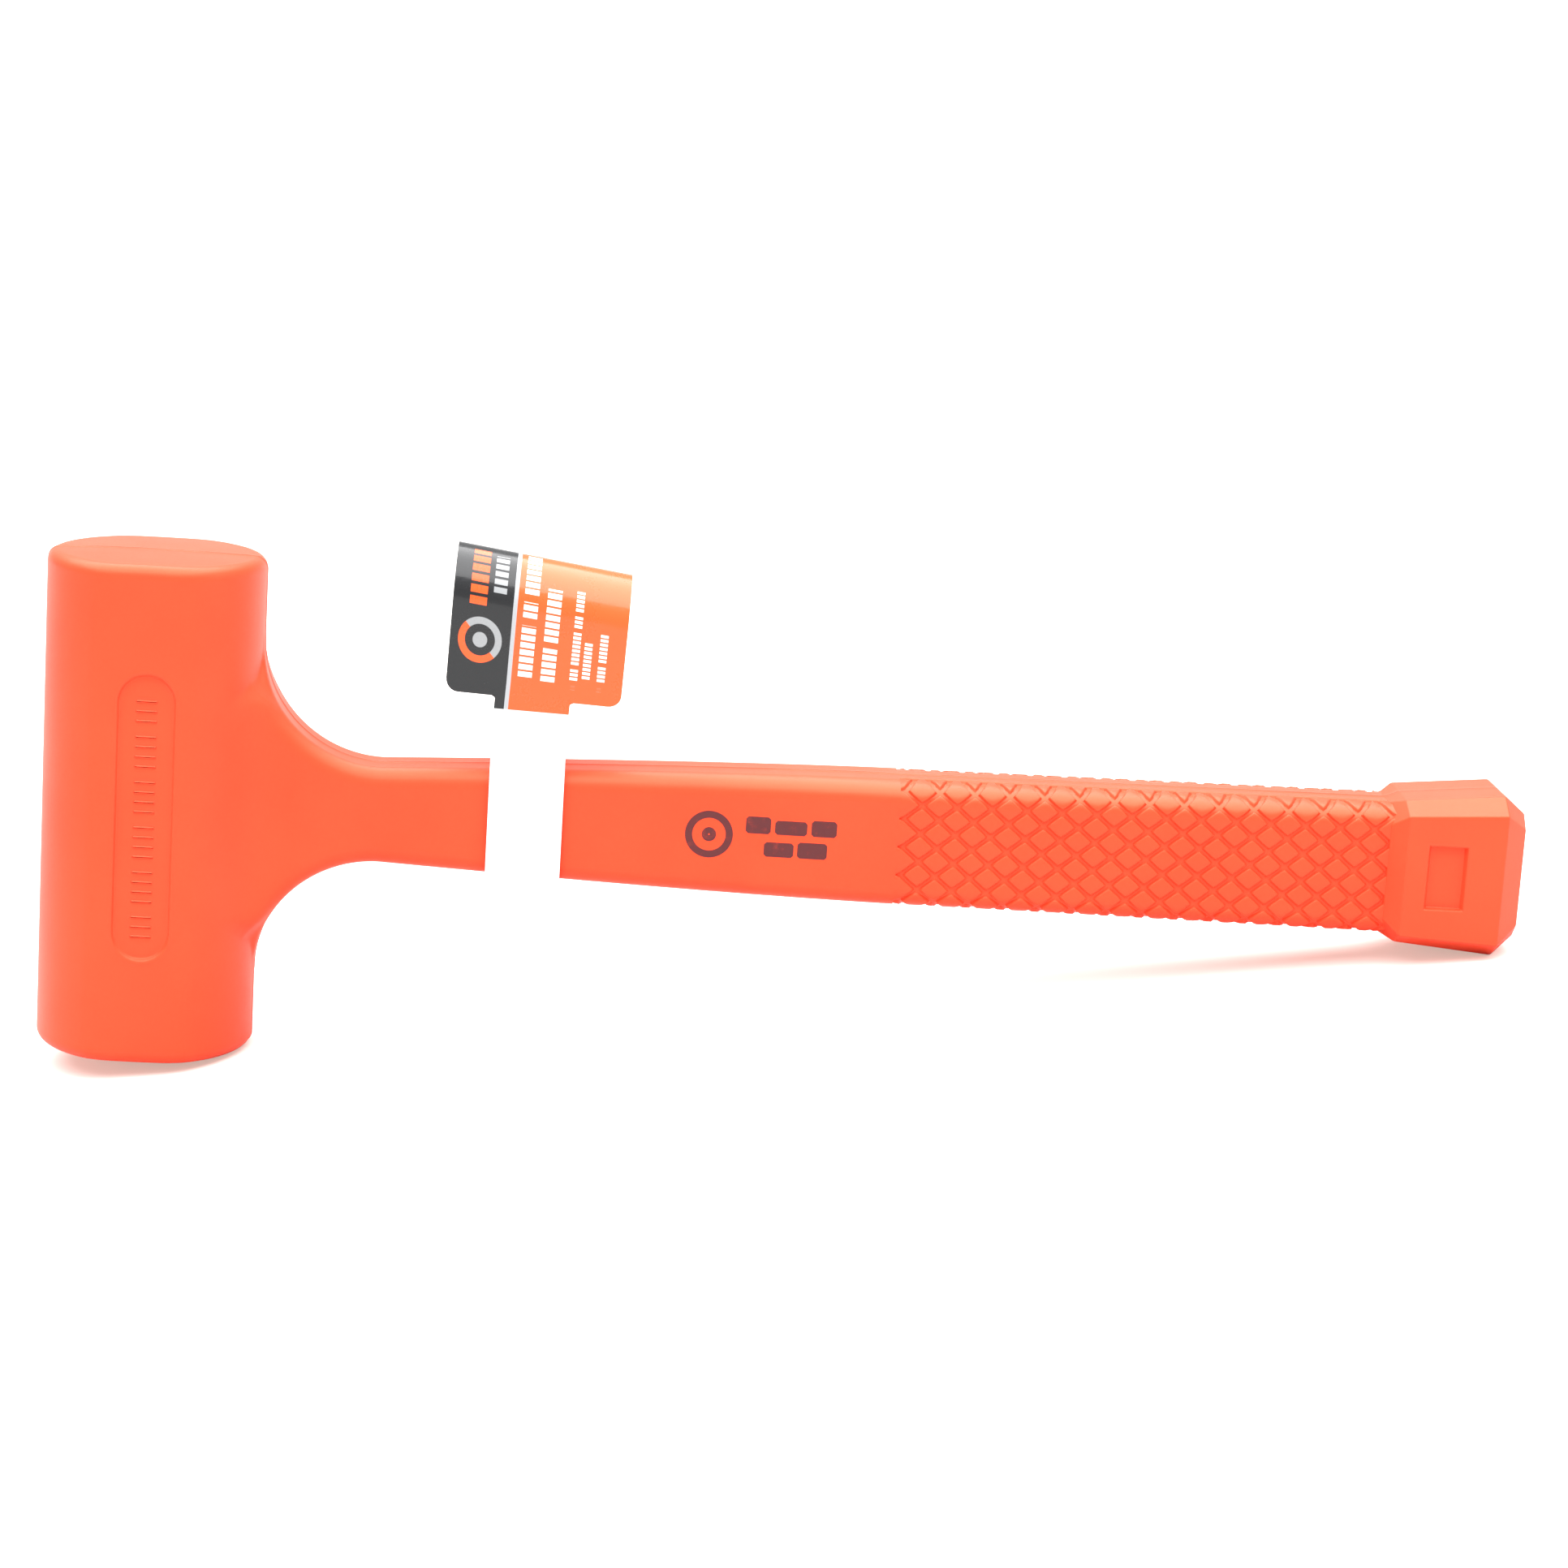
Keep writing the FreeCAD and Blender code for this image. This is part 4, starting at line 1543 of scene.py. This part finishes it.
        points = tree.points(tree.times(g["Columns"], g["Rows"]), tree.join(x, up, 0.0))
        px, _, _ = tree.split(tree.position())
        laid = tree.instances(points, g["Geometry"], m("LESS_THAN", px, g["Limit"]))

        x, rise, lift = tree.split(tree.position())
        share = tree.divided(tree.minus(x, g["Grip Start"]), tree.minus(g["Heel"], g["Grip Start"]))
        share = m("MAXIMUM", share, 0.0)

        def between(low: str, high: str) -> Socket:
            """A size part of the way from the grip's start to its heel."""
            return tree.plus(g[low], tree.times(share, tree.minus(g[high], g[low])))

        high = between("Start Half Height", "Heel Half Height")
        thick = between("Start Half Thickness", "Heel Half Thickness")
        straight = tree.minus(high, g["Corner Drop"])
        away = m("ABSOLUTE", rise)
        over = m("MAXIMUM", tree.minus(away, straight), 0.0)
        ratio = m("MINIMUM", tree.divided(over, g["Corner Drop"]), 1.0)
        turn = m("ARCSINE", ratio)
        past = m("MAXIMUM", tree.minus(over, g["Corner Drop"]), 0.0)
        reach = tree.minus(thick, g["Top Flat"])
        base_y = tree.minus(tree.plus(g["Top Flat"], tree.times(reach, m("COSINE", turn))), past)
        base_z = tree.minus(away, tree.minus(over, tree.times(g["Corner Drop"], m("SINE", turn))))
        ny, nz = tree.divided(m("COSINE", turn), reach), tree.divided(m("SINE", turn), g["Corner Drop"])
        size = m("SQRT", tree.plus(tree.times(ny, ny), tree.times(nz, nz)))
        dive = tree.smooth(base_y, (self.band - 0.1) * MM, (self.band + 0.7) * MM, 0.3 * MM, 0.0)
        height = tree.minus(lift, dive)
        y = tree.times(tree.plus(base_y, tree.times(height, tree.divided(ny, size))), float(side.value))
        z = tree.plus(base_z, tree.times(height, tree.divided(nz, size)))
        z = tree.plus(tree.times(z, m("SIGN", tree.plus(rise, 1e-9))), g["Middle"])
        tree.finish(tree.moved(laid, tree.join(x, y, z)), finish)
        piece = tree.apply_to(blank)
        turn_outwards(piece)
        shade(piece, 60.0)
        return piece

    def pads(self, side: Side, finish: Material) -> Piece:
        """The lattice of whole pads on one side.

        Args:
            side: front or back.
            finish: the urethane.

        Returns:
            The piece.
        """
        blank = self._pad_blank(f"urethane_grip_pads_{side.name.lower()}", finish)
        half_pitch = self.pitch / 2
        limit = self.start + self.pitch * (self.columns - 0.25)
        return self._wrapped(blank, side, finish, Lattice(
            self.start + half_pitch, self.columns, self.rows, self.row_pitch / 2, half_pitch, 1, limit,
        ))

    def teeth(self, side: Side, finish: Material, way: int) -> Piece:
        """The teeth at one end of the lattice on one side.

        Args:
            side: front or back.
            finish: the urethane.
            way: 1 at the neck, where the teeth point along X, and -1 at the heel.

        Returns:
            The piece.
        """
        end = "neck" if way > 0 else "heel"
        blank = self._tooth_blank(f"urethane_teeth_{end}_{side.name.lower()}", finish, way)
        half_groove = self.groove / 2
        neck, heel = self.start - half_groove + 0.01, self.start + self.pitch * self.columns + half_groove
        place = neck if way > 0 else heel
        return self._wrapped(blank, side, finish, Lattice(place, 1, 6, self.row_pitch, 0.0, 0, self.end + 1))


@dataclass
class Pommel:
    """The faceted pommel, with its sunk rectangle on each side and a slightly crowned end."""

    form: HandleForm
    stations: tuple = (
        (259.2, 13.9, 10.75, 5.0, 3.8), (262.5, 15.3, 14.2, 9.0, 2.4),
        (283.3, 17.2, 14.2, 9.0, 3.2), (288.2, 13.2, 9.4, 6.6, 2.8),
    )
    socket: tuple[float, float, float, float] = (267.1, 275.4, 6.8, 1.5)
    socket_slope: float = 0.55
    crown: float = 0.8
    ease: float = 0.32

    def build(self, finish: Material) -> Piece:
        """Builds the facets, the sockets and the eased edges.

        Args:
            finish: the urethane.

        Returns:
            The piece.
        """
        mid = self.form.middle
        points: list[Place] = []
        rings = []
        for x, high, thick, flat, drop in self.stations:
            rings += rows_of(1, 8, len(points))
            points += [(x, y, mid + z) for y, z in (
                (-flat, high), (flat, high), (thick, high - drop), (thick, drop - high),
                (flat, -high), (-flat, -high), (-thick, drop - high), (-thick, high - drop),
            )]
        faces: list[list[int]] = []
        for low, high in zip(rings, rings[1:]):
            for k, quad in enumerate(bridges([low, high])):
                if low is rings[1] and k in (2, 6):
                    faces += self._socket_faces(points, quad, 1 if k == 2 else -1)
                else:
                    faces.append(quad)
        faces.append(list(rings[0]))
        last = rings[-1]
        x0 = self.stations[-1][0]
        for share in (0.8, 0.55, 0.25):
            ring = rows_of(1, 8, len(points))[0]
            for k in rings[-1]:
                _, y, z = points[k]
                points.append((x0 + self.crown * (1 - share**2), y * share, mid + (z - mid) * share))
            faces += bridges([last, ring])
            last = ring
        faces.append(list(last))
        piece = solid("urethane_pommel", np.array(points), faces, [finish], 10.0)
        turn_outwards(piece)
        bevel = piece.modifiers.new("eased_edges", "BEVEL")
        bevel.width, bevel.segments = self.ease * MM, 2
        bevel.limit_method, bevel.angle_limit = "ANGLE", math.radians(14)
        bevel.use_clamp_overlap = True
        piece = baked(piece)
        piece.data.polygons.foreach_set("use_smooth", [True] * len(piece.data.polygons))
        even = piece.modifiers.new("even_facets", "WEIGHTED_NORMAL")
        even.keep_sharp, even.weight = False, 90
        return baked(piece)

    def _socket_faces(self, points: list, quad: list[int], sign: int) -> list[list[int]]:
        """Cuts the sunk rectangle into one side facet.

        Args:
            points: the pommel's points, which grow.
            quad: the facet's corners.
            sign: the side, along Y.

        Returns:
            The faces that take the facet's place.
        """
        x0, x1, half, deep = self.socket
        mid, thick = self.form.middle, self.stations[1][2]
        levels = []
        for inset, depth in ((0.0, 0.0), (self.socket_slope, deep)):
            levels += rows_of(1, 4, len(points))
            rise = half - inset * 0.3
            points += [(x, sign * (thick - depth), mid + z) for x, z in (
                (x0 + inset, rise), (x0 + inset, -rise), (x1 - inset, -rise), (x1 - inset, rise),
            )]
        outer = sorted(quad, key=lambda k: (points[k][0], points[k][2]))
        outer = [outer[1], outer[0], outer[2], outer[3]]
        return bridges([outer, *levels]) + [list(levels[1])]


@dataclass
class HandleMark:
    """The printed mark on the front of the handle: a plain ring and rows of bars, in place of a name."""

    form: HandleForm
    ring_place: tuple[float, float] = (116.6, 52.9)
    ring: tuple[float, float] = (5.0, 3.5)
    bars: tuple = (
        (124.2, 129.4, 53.6, 57.2), (130.3, 137.0, 53.6, 56.6), (137.9, 143.2, 53.6, 57.0),
        (128.2, 134.4, 48.8, 51.9), (135.2, 141.4, 48.8, 52.2),
    )
    hub: tuple[float, float] = (1.5, 0.2)
    proud: float = 0.035
    sunk: float = 0.06

    def _face(self, x: float) -> float:
        """The front face's place along Y."""
        return -float(self.form.half_thickness(np.array(x)))

    def build(self, finish: Material) -> Piece:
        """Lays the film of ink on the handle.

        Args:
            finish: the ink.

        Returns:
            The piece.
        """
        points: list[Place] = []
        faces: list[list[int]] = []

        def film(grid: list[list[tuple[float, float]]], closed: bool) -> None:
            """Adds a thin closed film to the points and faces.

            Args:
                grid: rows of places, each X and Z.
                closed: whether each row runs back into its start.
            """
            layers = []
            for y_off in (-self.proud, self.sunk):
                layers.append(rows_of(len(grid), len(grid[0]), len(points)))
                points.extend((x, self._face(x) + y_off, z) for row in grid for x, z in row)
                faces.extend(bridges(layers[-1], closed))
            outer, inner = layers
            for r in (0, -1):
                faces.extend(bridges([outer[r], inner[r]], closed))
            if not closed:
                for c in (0, -1):
                    faces.extend(bridges([[row[c] for row in outer], [row[c] for row in inner]], False))

        cx, cz = self.ring_place
        turns = np.linspace(0, 2 * math.pi, 49)[:-1]
        for radii in (self.ring, self.hub):
            film([[(cx + r * math.cos(t), cz + r * math.sin(t)) for t in turns] for r in radii], True)
        for x0, x1, z0, z1 in self.bars:
            ease, rows = 0.5, []
            for z in (z0, z0 + ease, z1 - ease, z1):
                inset = ease if z in (z0, z1) else 0.0
                rows.append([(x0 + inset + (x1 - x0 - 2 * inset) * k / 6, z) for k in range(7)])
            film(rows, False)
        piece = solid("printed_mark", np.array(points), faces, [finish], 30.0)
        turn_outwards(piece)
        return piece


@dataclass
class HangTag:
    """The hang tag: a strap of thin printed sheet looped under the handle, with a card at its top.

    The sheet is followed along its loop: down inside the back, under the handle, up the front,
    over the arch and down the back again, where it laps over its own end.
    """

    middle: float = 78.2
    inner: float = 9.6
    thick: float = 0.36
    under: float = 39.35
    bend: float = 4.0
    arch_base: float = 97.175
    arch_radius: float = 10.12
    lap_high: float = 64.0
    lap_low: float = 50.0
    strap_half: float = 7.75
    card_half: float = 18.1
    card_low: float = 79.6
    corner: float = 2.6
    notch: float = 0.7
    lean: float = 2.4
    fold: float = 5.6

    def _path(self) -> np.ndarray:
        """The loop's middle line.

        Returns:
            Rows of Y, Z and the place along the printed map.
        """
        face = self.inner + 0.2
        rise = self.under + self.bend
        rows: list[tuple[float, float]] = [(face, z) for z in np.linspace(self.lap_high, rise, 8)]
        turn = self.bend + 0.2
        quarter = np.linspace(0, math.pi / 2, 9)
        rows += [(face - turn + turn * math.cos(a), rise - turn * math.sin(a)) for a in quarter[1:]]
        rows += [(turn - face - turn * math.sin(a), rise - turn * math.cos(a)) for a in quarter]
        even = [z for z in np.linspace(rise, self.arch_base, 50)[1:] if abs(z - self.card_low - 0.8) > 2.6]
        even += [self.card_low + self.corner * (1 - math.cos(a)) for a in np.linspace(0, math.pi / 2, 7)]
        even += [self.card_low - self.notch * math.sin(a) for a in np.linspace(0, math.pi / 2, 4)[1:]]
        straight = sorted({round(z, 4) for z in even})
        rows += [(-face, z) for z in straight]
        back = self.inner + 0.4 + 0.25 + 0.2
        reach = (face + back) / 2
        centre = back - reach
        arch = np.linspace(0, math.pi, 41)[1:]
        rows += [(centre - reach * math.cos(a), self.arch_base + reach * math.sin(a)) for a in arch]
        rows += [(back, z) for z in sorted(straight, reverse=True)[1:] if z >= self.lap_low + 0.3]
        rows.append((back, self.lap_low))
        line = np.array(rows)
        length = np.concatenate([[0], np.cumsum(np.hypot(*np.diff(line, axis=0).T))])
        front = int(np.argmin(np.hypot(line[:, 0] + face, line[:, 1] - self.arch_base)))
        return np.concatenate([line, (length - length[front] + self.arch_base)[:, None]], 1)

    def _half_width(self, along: float, card_end: float) -> float:
        """Half the sheet's width where the card is, with its rounded corners.

        Args:
            along: the place along the sheet.
            card_end: where the card ends.

        Returns:
            The half width.
        """
        inside = min(along - self.card_low, card_end - along)
        if inside >= self.corner:
            return self.card_half
        arc = math.sqrt(max(self.corner**2 - (self.corner - max(inside, 0)) ** 2, 0))
        return self.card_half - self.corner + arc

    def _strap_half(self, along: float, card_end: float) -> float:
        """Half the strap's width, with the small fillets where it meets the card.

        Args:
            along: the place along the sheet.
            card_end: where the card ends.

        Returns:
            The half width.
        """
        outside = max(self.card_low - along, along - card_end)
        if outside >= self.notch or outside < 0:
            return self.strap_half
        return self.strap_half + self.notch - math.sqrt(max(self.notch**2 - (self.notch - outside) ** 2, 0))

    def _placed(self, across: float, y: float, z: float) -> Place:
        """Places a point of the sheet, with the card's lean and its skewed fold.

        Args:
            across: the place across the sheet.
            y: its place along Y.
            z: its height, before the lean and the fold.

        Returns:
            The point.
        """
        tilt = np.clip((z - 62.0) / 20.0, 0, 1)
        lean = math.tan(math.radians(self.lean)) * max(z - 70.0, 0.0) * tilt
        rise = np.clip((z - 74.0) / 26.0, 0, 1)
        skew = math.tan(math.radians(self.fold)) * rise * rise * (3 - 2 * rise)
        lower = math.tan(math.radians(self.lean)) * tilt
        return (self.middle + across + lean, y, z - across * (skew + lower))

    def build(self, printed: Material, plain: Material) -> Piece:
        """Makes the sheet with its thickness.

        Args:
            printed: the finish of the outer side.
            plain: the finish of the inner side and the edges.

        Returns:
            The piece.
        """
        path = self._path()
        card_end = 2 * self.arch_base - self.card_low + math.pi * self.arch_radius
        card_end = min(card_end, path[:, 2].max())
        points: list[Place] = []
        marks: list[tuple[float, float]] = []
        faces: list[list[int]] = []

        def strip(
            rows: np.ndarray, low: Callable[[float], float], high: Callable[[float], float], count: int
        ) -> None:
            """Adds a strip of the sheet to the points and faces.

            Args:
                rows: the rows of the path that it follows.
                low: its lower edge at a place along the sheet.
                high: its upper edge there.
                count: how many faces wide it is.
            """
            faces.extend(bridges(rows_of(len(rows), count + 1, len(points)), False))
            for y, z, along in rows:
                for k in range(count + 1):
                    across = low(along) + (high(along) - low(along)) * k / count
                    points.append(self._placed(across, y, z))
                    marks.append(((across + MAP_SHIFT) / MAP_SPAN, along / MAP_SPAN))

        strip(path, lambda a: -self._strap_half(a, card_end), lambda a: self._strap_half(a, card_end), 12)
        card = path[(path[:, 2] >= self.card_low - 1e-3) & (path[:, 2] <= card_end + 1e-3)]
        strip(card, lambda a: self.strap_half, lambda a: self._half_width(a, card_end), 8)
        strip(card, lambda a: -self._half_width(a, card_end), lambda a: -self.strap_half, 8)
        piece = solid("printed_hang_tag", np.array(points), faces, [printed, plain], 60.0)
        layer = piece.data.uv_layers.new(name="print")
        corner_points = np.zeros(len(piece.data.loops), int)
        piece.data.loops.foreach_get("vertex_index", corner_points)
        layer.data.foreach_set("uv", np.array(marks)[corner_points].astype(np.float32).ravel())
        work = bmesh.new()
        work.from_mesh(piece.data)
        bmesh.ops.remove_doubles(work, verts=work.verts, dist=0.02 * MM)
        work.to_mesh(piece.data)
        work.free()
        middle = next(p for p in piece.data.polygons if p.center.y < -0.009 and p.center.z > 0.05)
        if middle.normal.y > 0:
            piece.data.flip_normals()
        thick = piece.modifiers.new("sheet", "SOLIDIFY")
        thick.thickness, thick.offset = self.thick * MM, 0.0
        thick.material_offset = thick.material_offset_rim = 1
        thick.use_even_offset = True
        piece = baked(piece)
        shade(piece, 50.0)
        return piece


@dataclass
class SteelShot:
    """The loose steel shot: close-packed layers of balls at the bottom of the canister."""

    ball: float = 3.0
    gap: float = 0.12
    bore: float = 14.25
    floor: float = 16.5
    roof: float = 66.5

    def _centres(self) -> np.ndarray:
        """The balls' places, layer on layer, the upper ones in the hollows of the lower ones.

        Returns:
            One row for each ball.
        """
        pitch = 2 * self.ball + self.gap
        reach = self.bore - self.ball - 2 * self.gap
        row_step, layer_step = pitch * math.sqrt(3) / 2, pitch * math.sqrt(2 / 3)
        places, height, layer = [], self.floor + self.ball + self.gap, 0
        while height + self.ball <= self.roof:
            shift = row_step * 2 / 3 if layer % 2 else 0.0
            for row in range(-4, 5):
                for column in range(-5, 6):
                    x, y = (column + 0.5 * (row % 2)) * pitch, row * row_step + shift
                    if math.hypot(x, y) <= reach:
                        places.append((x, y, height))
            height, layer = height + layer_step, layer + 1
        return np.array(places)

    def build(self, finish: Material) -> Piece:
        """Puts a ball at every place with a geometry tree.

        Args:
            finish: the steel.

        Returns:
            The piece.
        """
        piece = solid("steel_shot_balls", self._centres(), [], [finish])
        tree = GeometrySheet("shot", {"Ball Radius": self.ball})
        ball = tree.add("GeometryNodeMeshIcoSphere", {"Radius": tree.given["Ball Radius"], "Subdivisions": 3})
        tree.finish(tree.instances(tree.given["Geometry"], ball.outputs[0]), finish)
        piece = tree.apply_to(piece)
        shade(piece, 60.0)
        return piece


# ---------------------------------------------------------------------------------------------
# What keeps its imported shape


@dataclass
class SteelSkeleton:
    """The canister, its ends, the rod and the welds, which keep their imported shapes."""

    nodes: dict[str, Piece]

    def dress(self, effects: SharedEffects) -> None:
        """Gives each node its finish.

        Args:
            effects: the shared groups.
        """
        tube = BareSteel(stretch=(1.0, 1.0, 0.04)).make(effects, "canister_drawn_steel")
        turned = BareSteel(colour=(0.60, 0.60, 0.61), stretch=(1.0, 1.0, 0.3), roughness=0.28)
        turned = turned.make(effects, "cap_turned_steel")
        rod = BareSteel(colour=(0.50, 0.50, 0.52), dull=(0.26, 0.25, 0.25)).make(effects, "rod_bright_steel")
        ring = WeldMetal().make(effects, "cap_weld_metal")
        cone = WeldMetal(ripples=34.0).make(effects, "rod_weld_metal", along_x=True)
        tape = PlainSheet(colour=(0.80, 0.79, 0.74)).make(effects, "tape_matt", 0.6)
        for name, finish in (
            ("canister_tube", tube), ("canister_cap_upper", turned), ("canister_cap_lower", turned),
            ("cap_weld_upper", ring), ("cap_weld_lower", ring), ("handle_rod", rod), ("rod_weld", cone),
            ("hang_tag_tape", tape),
        ):
            node = self.nodes[name]
            node.data.materials.clear()
            node.data.materials.append(finish)
            log.info("%s: packed shape kept, finish %s", name, finish.name)


# ---------------------------------------------------------------------------------------------
# Studio


@dataclass
class Studio:
    """White sweep, soft light from above and in front, and the camera."""

    lens: float = 90.49
    distance: float = 829.7
    target: Sequence[float] = (132.1, 0.0, 62.39)
    elevation: float = 12.06
    turn: float = 3.183
    roll: float = 3.664
    head_rim: Sequence[float] = (20.1, 2.4)
    rim_radius: float = 2.4
    heel_rest: Sequence[float] = (283.3, 35.3)
    sky: float = 0.60
    roof: float = 9.6
    roof_spread: float = 95.0
    sweep_bend: float = 900.0

    def floor_slope(self) -> float:
        """The angle of the floor, which the head's rim and the pommel's lower edge both touch."""
        run, rise = self.heel_rest[0] - self.head_rim[0], self.heel_rest[1] - self.head_rim[1]
        return math.atan2(rise, run) + math.asin(self.rim_radius / math.hypot(run, rise))

    def _along_floor(self) -> Matrix:
        """The floor's own frame: X along it under the handle, Z out of it.

        Returns:
            The frame, from the floor's lengths to the scene's.
        """
        frame = Matrix.Rotation(-self.floor_slope(), 4, "Y")
        frame.translation = Vector((self.heel_rest[0] * MM, 0, self.heel_rest[1] * MM))
        return frame

    def lay_floor(self, finish: Material) -> Piece:
        """Lays the floor as a gently curved sweep.

        Args:
            finish: the floor's material.

        Returns:
            The floor.
        """
        frame = self._along_floor()
        steps = graded((-2600, 400), (-200, 100), (900, 300), (3600, 1))
        rows = []
        for y in steps:
            rise = 0.0 if y < self.sweep_bend else (y - self.sweep_bend) ** 2 / 9000.0
            rows.append([frame @ (Vector((x, y, rise)) * MM) for x in (-2600, -900, 0, 900, 2600)])
        points = np.array([list(p) for row in rows for p in row]) / MM
        faces = bridges(rows_of(len(rows), 5), False)
        floor = solid("studio_sweep", points, faces, [finish], 80.0)
        return floor

    def _softbox(self, name: str, place: Vector, aim: Vector, size: tuple[float, float], watts: float) -> None:
        """Hangs one soft rectangular light.

        Args:
            name: the light's name.
            place: where it is, in metres.
            aim: what it points at.
            size: its two sides, in metres.
            watts: its power.
        """
        data = bpy.data.lights.new(name, "AREA")
        data.shape, data.size, data.size_y, data.energy = "RECTANGLE", *size, watts
        light = bpy.data.objects.new(name, data)
        light.location = place
        light.rotation_mode = "QUATERNION"
        light.rotation_quaternion = (aim - place).to_track_quat("-Z", "Y")
        bpy.context.scene.collection.objects.link(light)

    def _roof_light(self) -> None:
        """Lights the sweep evenly and very softly from above, square to the floor."""
        data = bpy.data.lights.new("roof", "SUN")
        data.energy, data.angle = self.roof, math.radians(self.roof_spread)
        light = bpy.data.objects.new("roof", data)
        light.rotation_euler = (0.0, -self.floor_slope(), 0.0)
        bpy.context.scene.collection.objects.link(light)

    def light(self) -> None:
        """Lights the sweep: an even white room, a soft roof and two soft boxes."""
        world = bpy.data.worlds.new("white_room")
        bpy.context.scene.world = world
        world.use_nodes = True
        world.node_tree.nodes.clear()
        s = NodeSheet(world.node_tree)
        seen = s.add("ShaderNodeLightPath").outputs["Is Camera Ray"]
        level = s.plus(s.times(seen, 1.05 - self.sky), self.sky)
        sky = s.add("ShaderNodeBackground", {0: (1.0, 1.0, 1.0, 1.0), 1: level})
        s.put(s.add("ShaderNodeOutputWorld").inputs[0], sky.outputs[0])
        aim = Vector((0.13, 0.0, 0.05))
        self._roof_light()
        self._softbox("front_box", Vector((-0.25, -1.1, 0.75)), aim, (0.5, 0.4), 1.2)
        self._softbox("side_box", Vector((0.95, -0.25, 0.55)), aim, (0.4, 0.4), 1.2)
        view = bpy.context.scene.view_settings
        view.view_transform = "Standard"

    def set_camera(self) -> Piece:
        """Sets the camera by its lens, distance and angles.

        Returns:
            The camera.
        """
        e, p, r = math.radians(self.elevation), math.radians(self.turn), math.radians(-self.roll)
        right, up = Vector((1, 0, 0)), Vector((0, math.sin(e), math.cos(e)))
        ahead = Vector((0, math.cos(e), -math.sin(e)))
        across, over = right * math.cos(r) - up * math.sin(r), right * math.sin(r) + up * math.cos(r)
        back = Matrix.Rotation(-p, 3, "Z")
        across, over, ahead = back @ across, back @ over, back @ ahead
        data = bpy.data.cameras.new("studio_camera")
        data.lens, data.sensor_width = self.lens, 36.0
        data.clip_start, data.clip_end = 0.05, 20.0
        camera = bpy.data.objects.new("studio_camera", data)
        frame = Matrix((across, over, -ahead)).transposed().to_4x4()
        frame.translation = (Vector(self.target) - ahead * self.distance) * MM
        camera.matrix_world = frame
        bpy.context.scene.collection.objects.link(camera)
        bpy.context.scene.camera = camera
        return camera


@dataclass
class Mallet:
    """The whole object: the jacket's pieces, the steel inside, the shot and the tag."""

    frame: dict
    effects: SharedEffects
    form: HandleForm = field(default_factory=HandleForm)

    def build_jacket(self) -> None:
        """Builds and mounts the cast jacket."""
        urethane = CastUrethane().make(self.effects)
        plain = CastUrethane().make(self.effects, "cast_urethane_pads", False)
        head = HeadAndNeck(self.form)
        mount(head.build(urethane), Body.MALLET, Slot.URETHANE, "jacket")
        grip = Grip(self.form)
        mount(grip.core(urethane), Body.MALLET, Slot.URETHANE)
        for side in Side:
            mount(grip.pads(side, plain), Body.MALLET, Slot.URETHANE)
            mount(grip.teeth(side, plain, 1), Body.MALLET, Slot.URETHANE)
            mount(grip.teeth(side, plain, -1), Body.MALLET, Slot.URETHANE)
            mount(PanelStrokes(head).build(side, plain), Body.MALLET, Slot.URETHANE)
        mount(Pommel(self.form).build(urethane), Body.MALLET, Slot.URETHANE)
        mount(HandleMark(self.form).build(PrintInk().make(self.effects)), Body.MALLET, Slot.URETHANE)

    def build_inside(self) -> None:
        """Dresses the steel and fills in the shot."""
        SteelSkeleton(self.frame["nodes"]).dress(self.effects)
        steel = BareSteel(colour=(0.62, 0.62, 0.63), stretch=(1.0, 1.0, 1.0), roughness=0.24)
        steel = steel.make(self.effects, "shot_polished_steel")
        mount(SteelShot().build(steel), Body.SHOT, Slot.SHOT, "steel_shot")

    def build_tag(self) -> None:
        """Builds and mounts the hang tag."""
        printed, plain = PrintedSheet().make(self.effects), PlainSheet().make(self.effects)
        mount(HangTag().build(printed, plain), Body.TAG, Slot.SHEET, "hang_tag")


def main() -> None:
    """Builds the mallet and its studio in order."""
    logging.basicConfig(level=logging.INFO, format="%(message)s")
    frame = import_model()
    effects = SharedEffects()
    mallet = Mallet(frame, effects)
    mallet.build_jacket()
    mallet.build_inside()
    mallet.build_tag()
    studio = Studio()
    studio.lay_floor(StudioFloor().make(effects))
    studio.light()
    studio.set_camera()


if __name__ == "__main__":
    main()
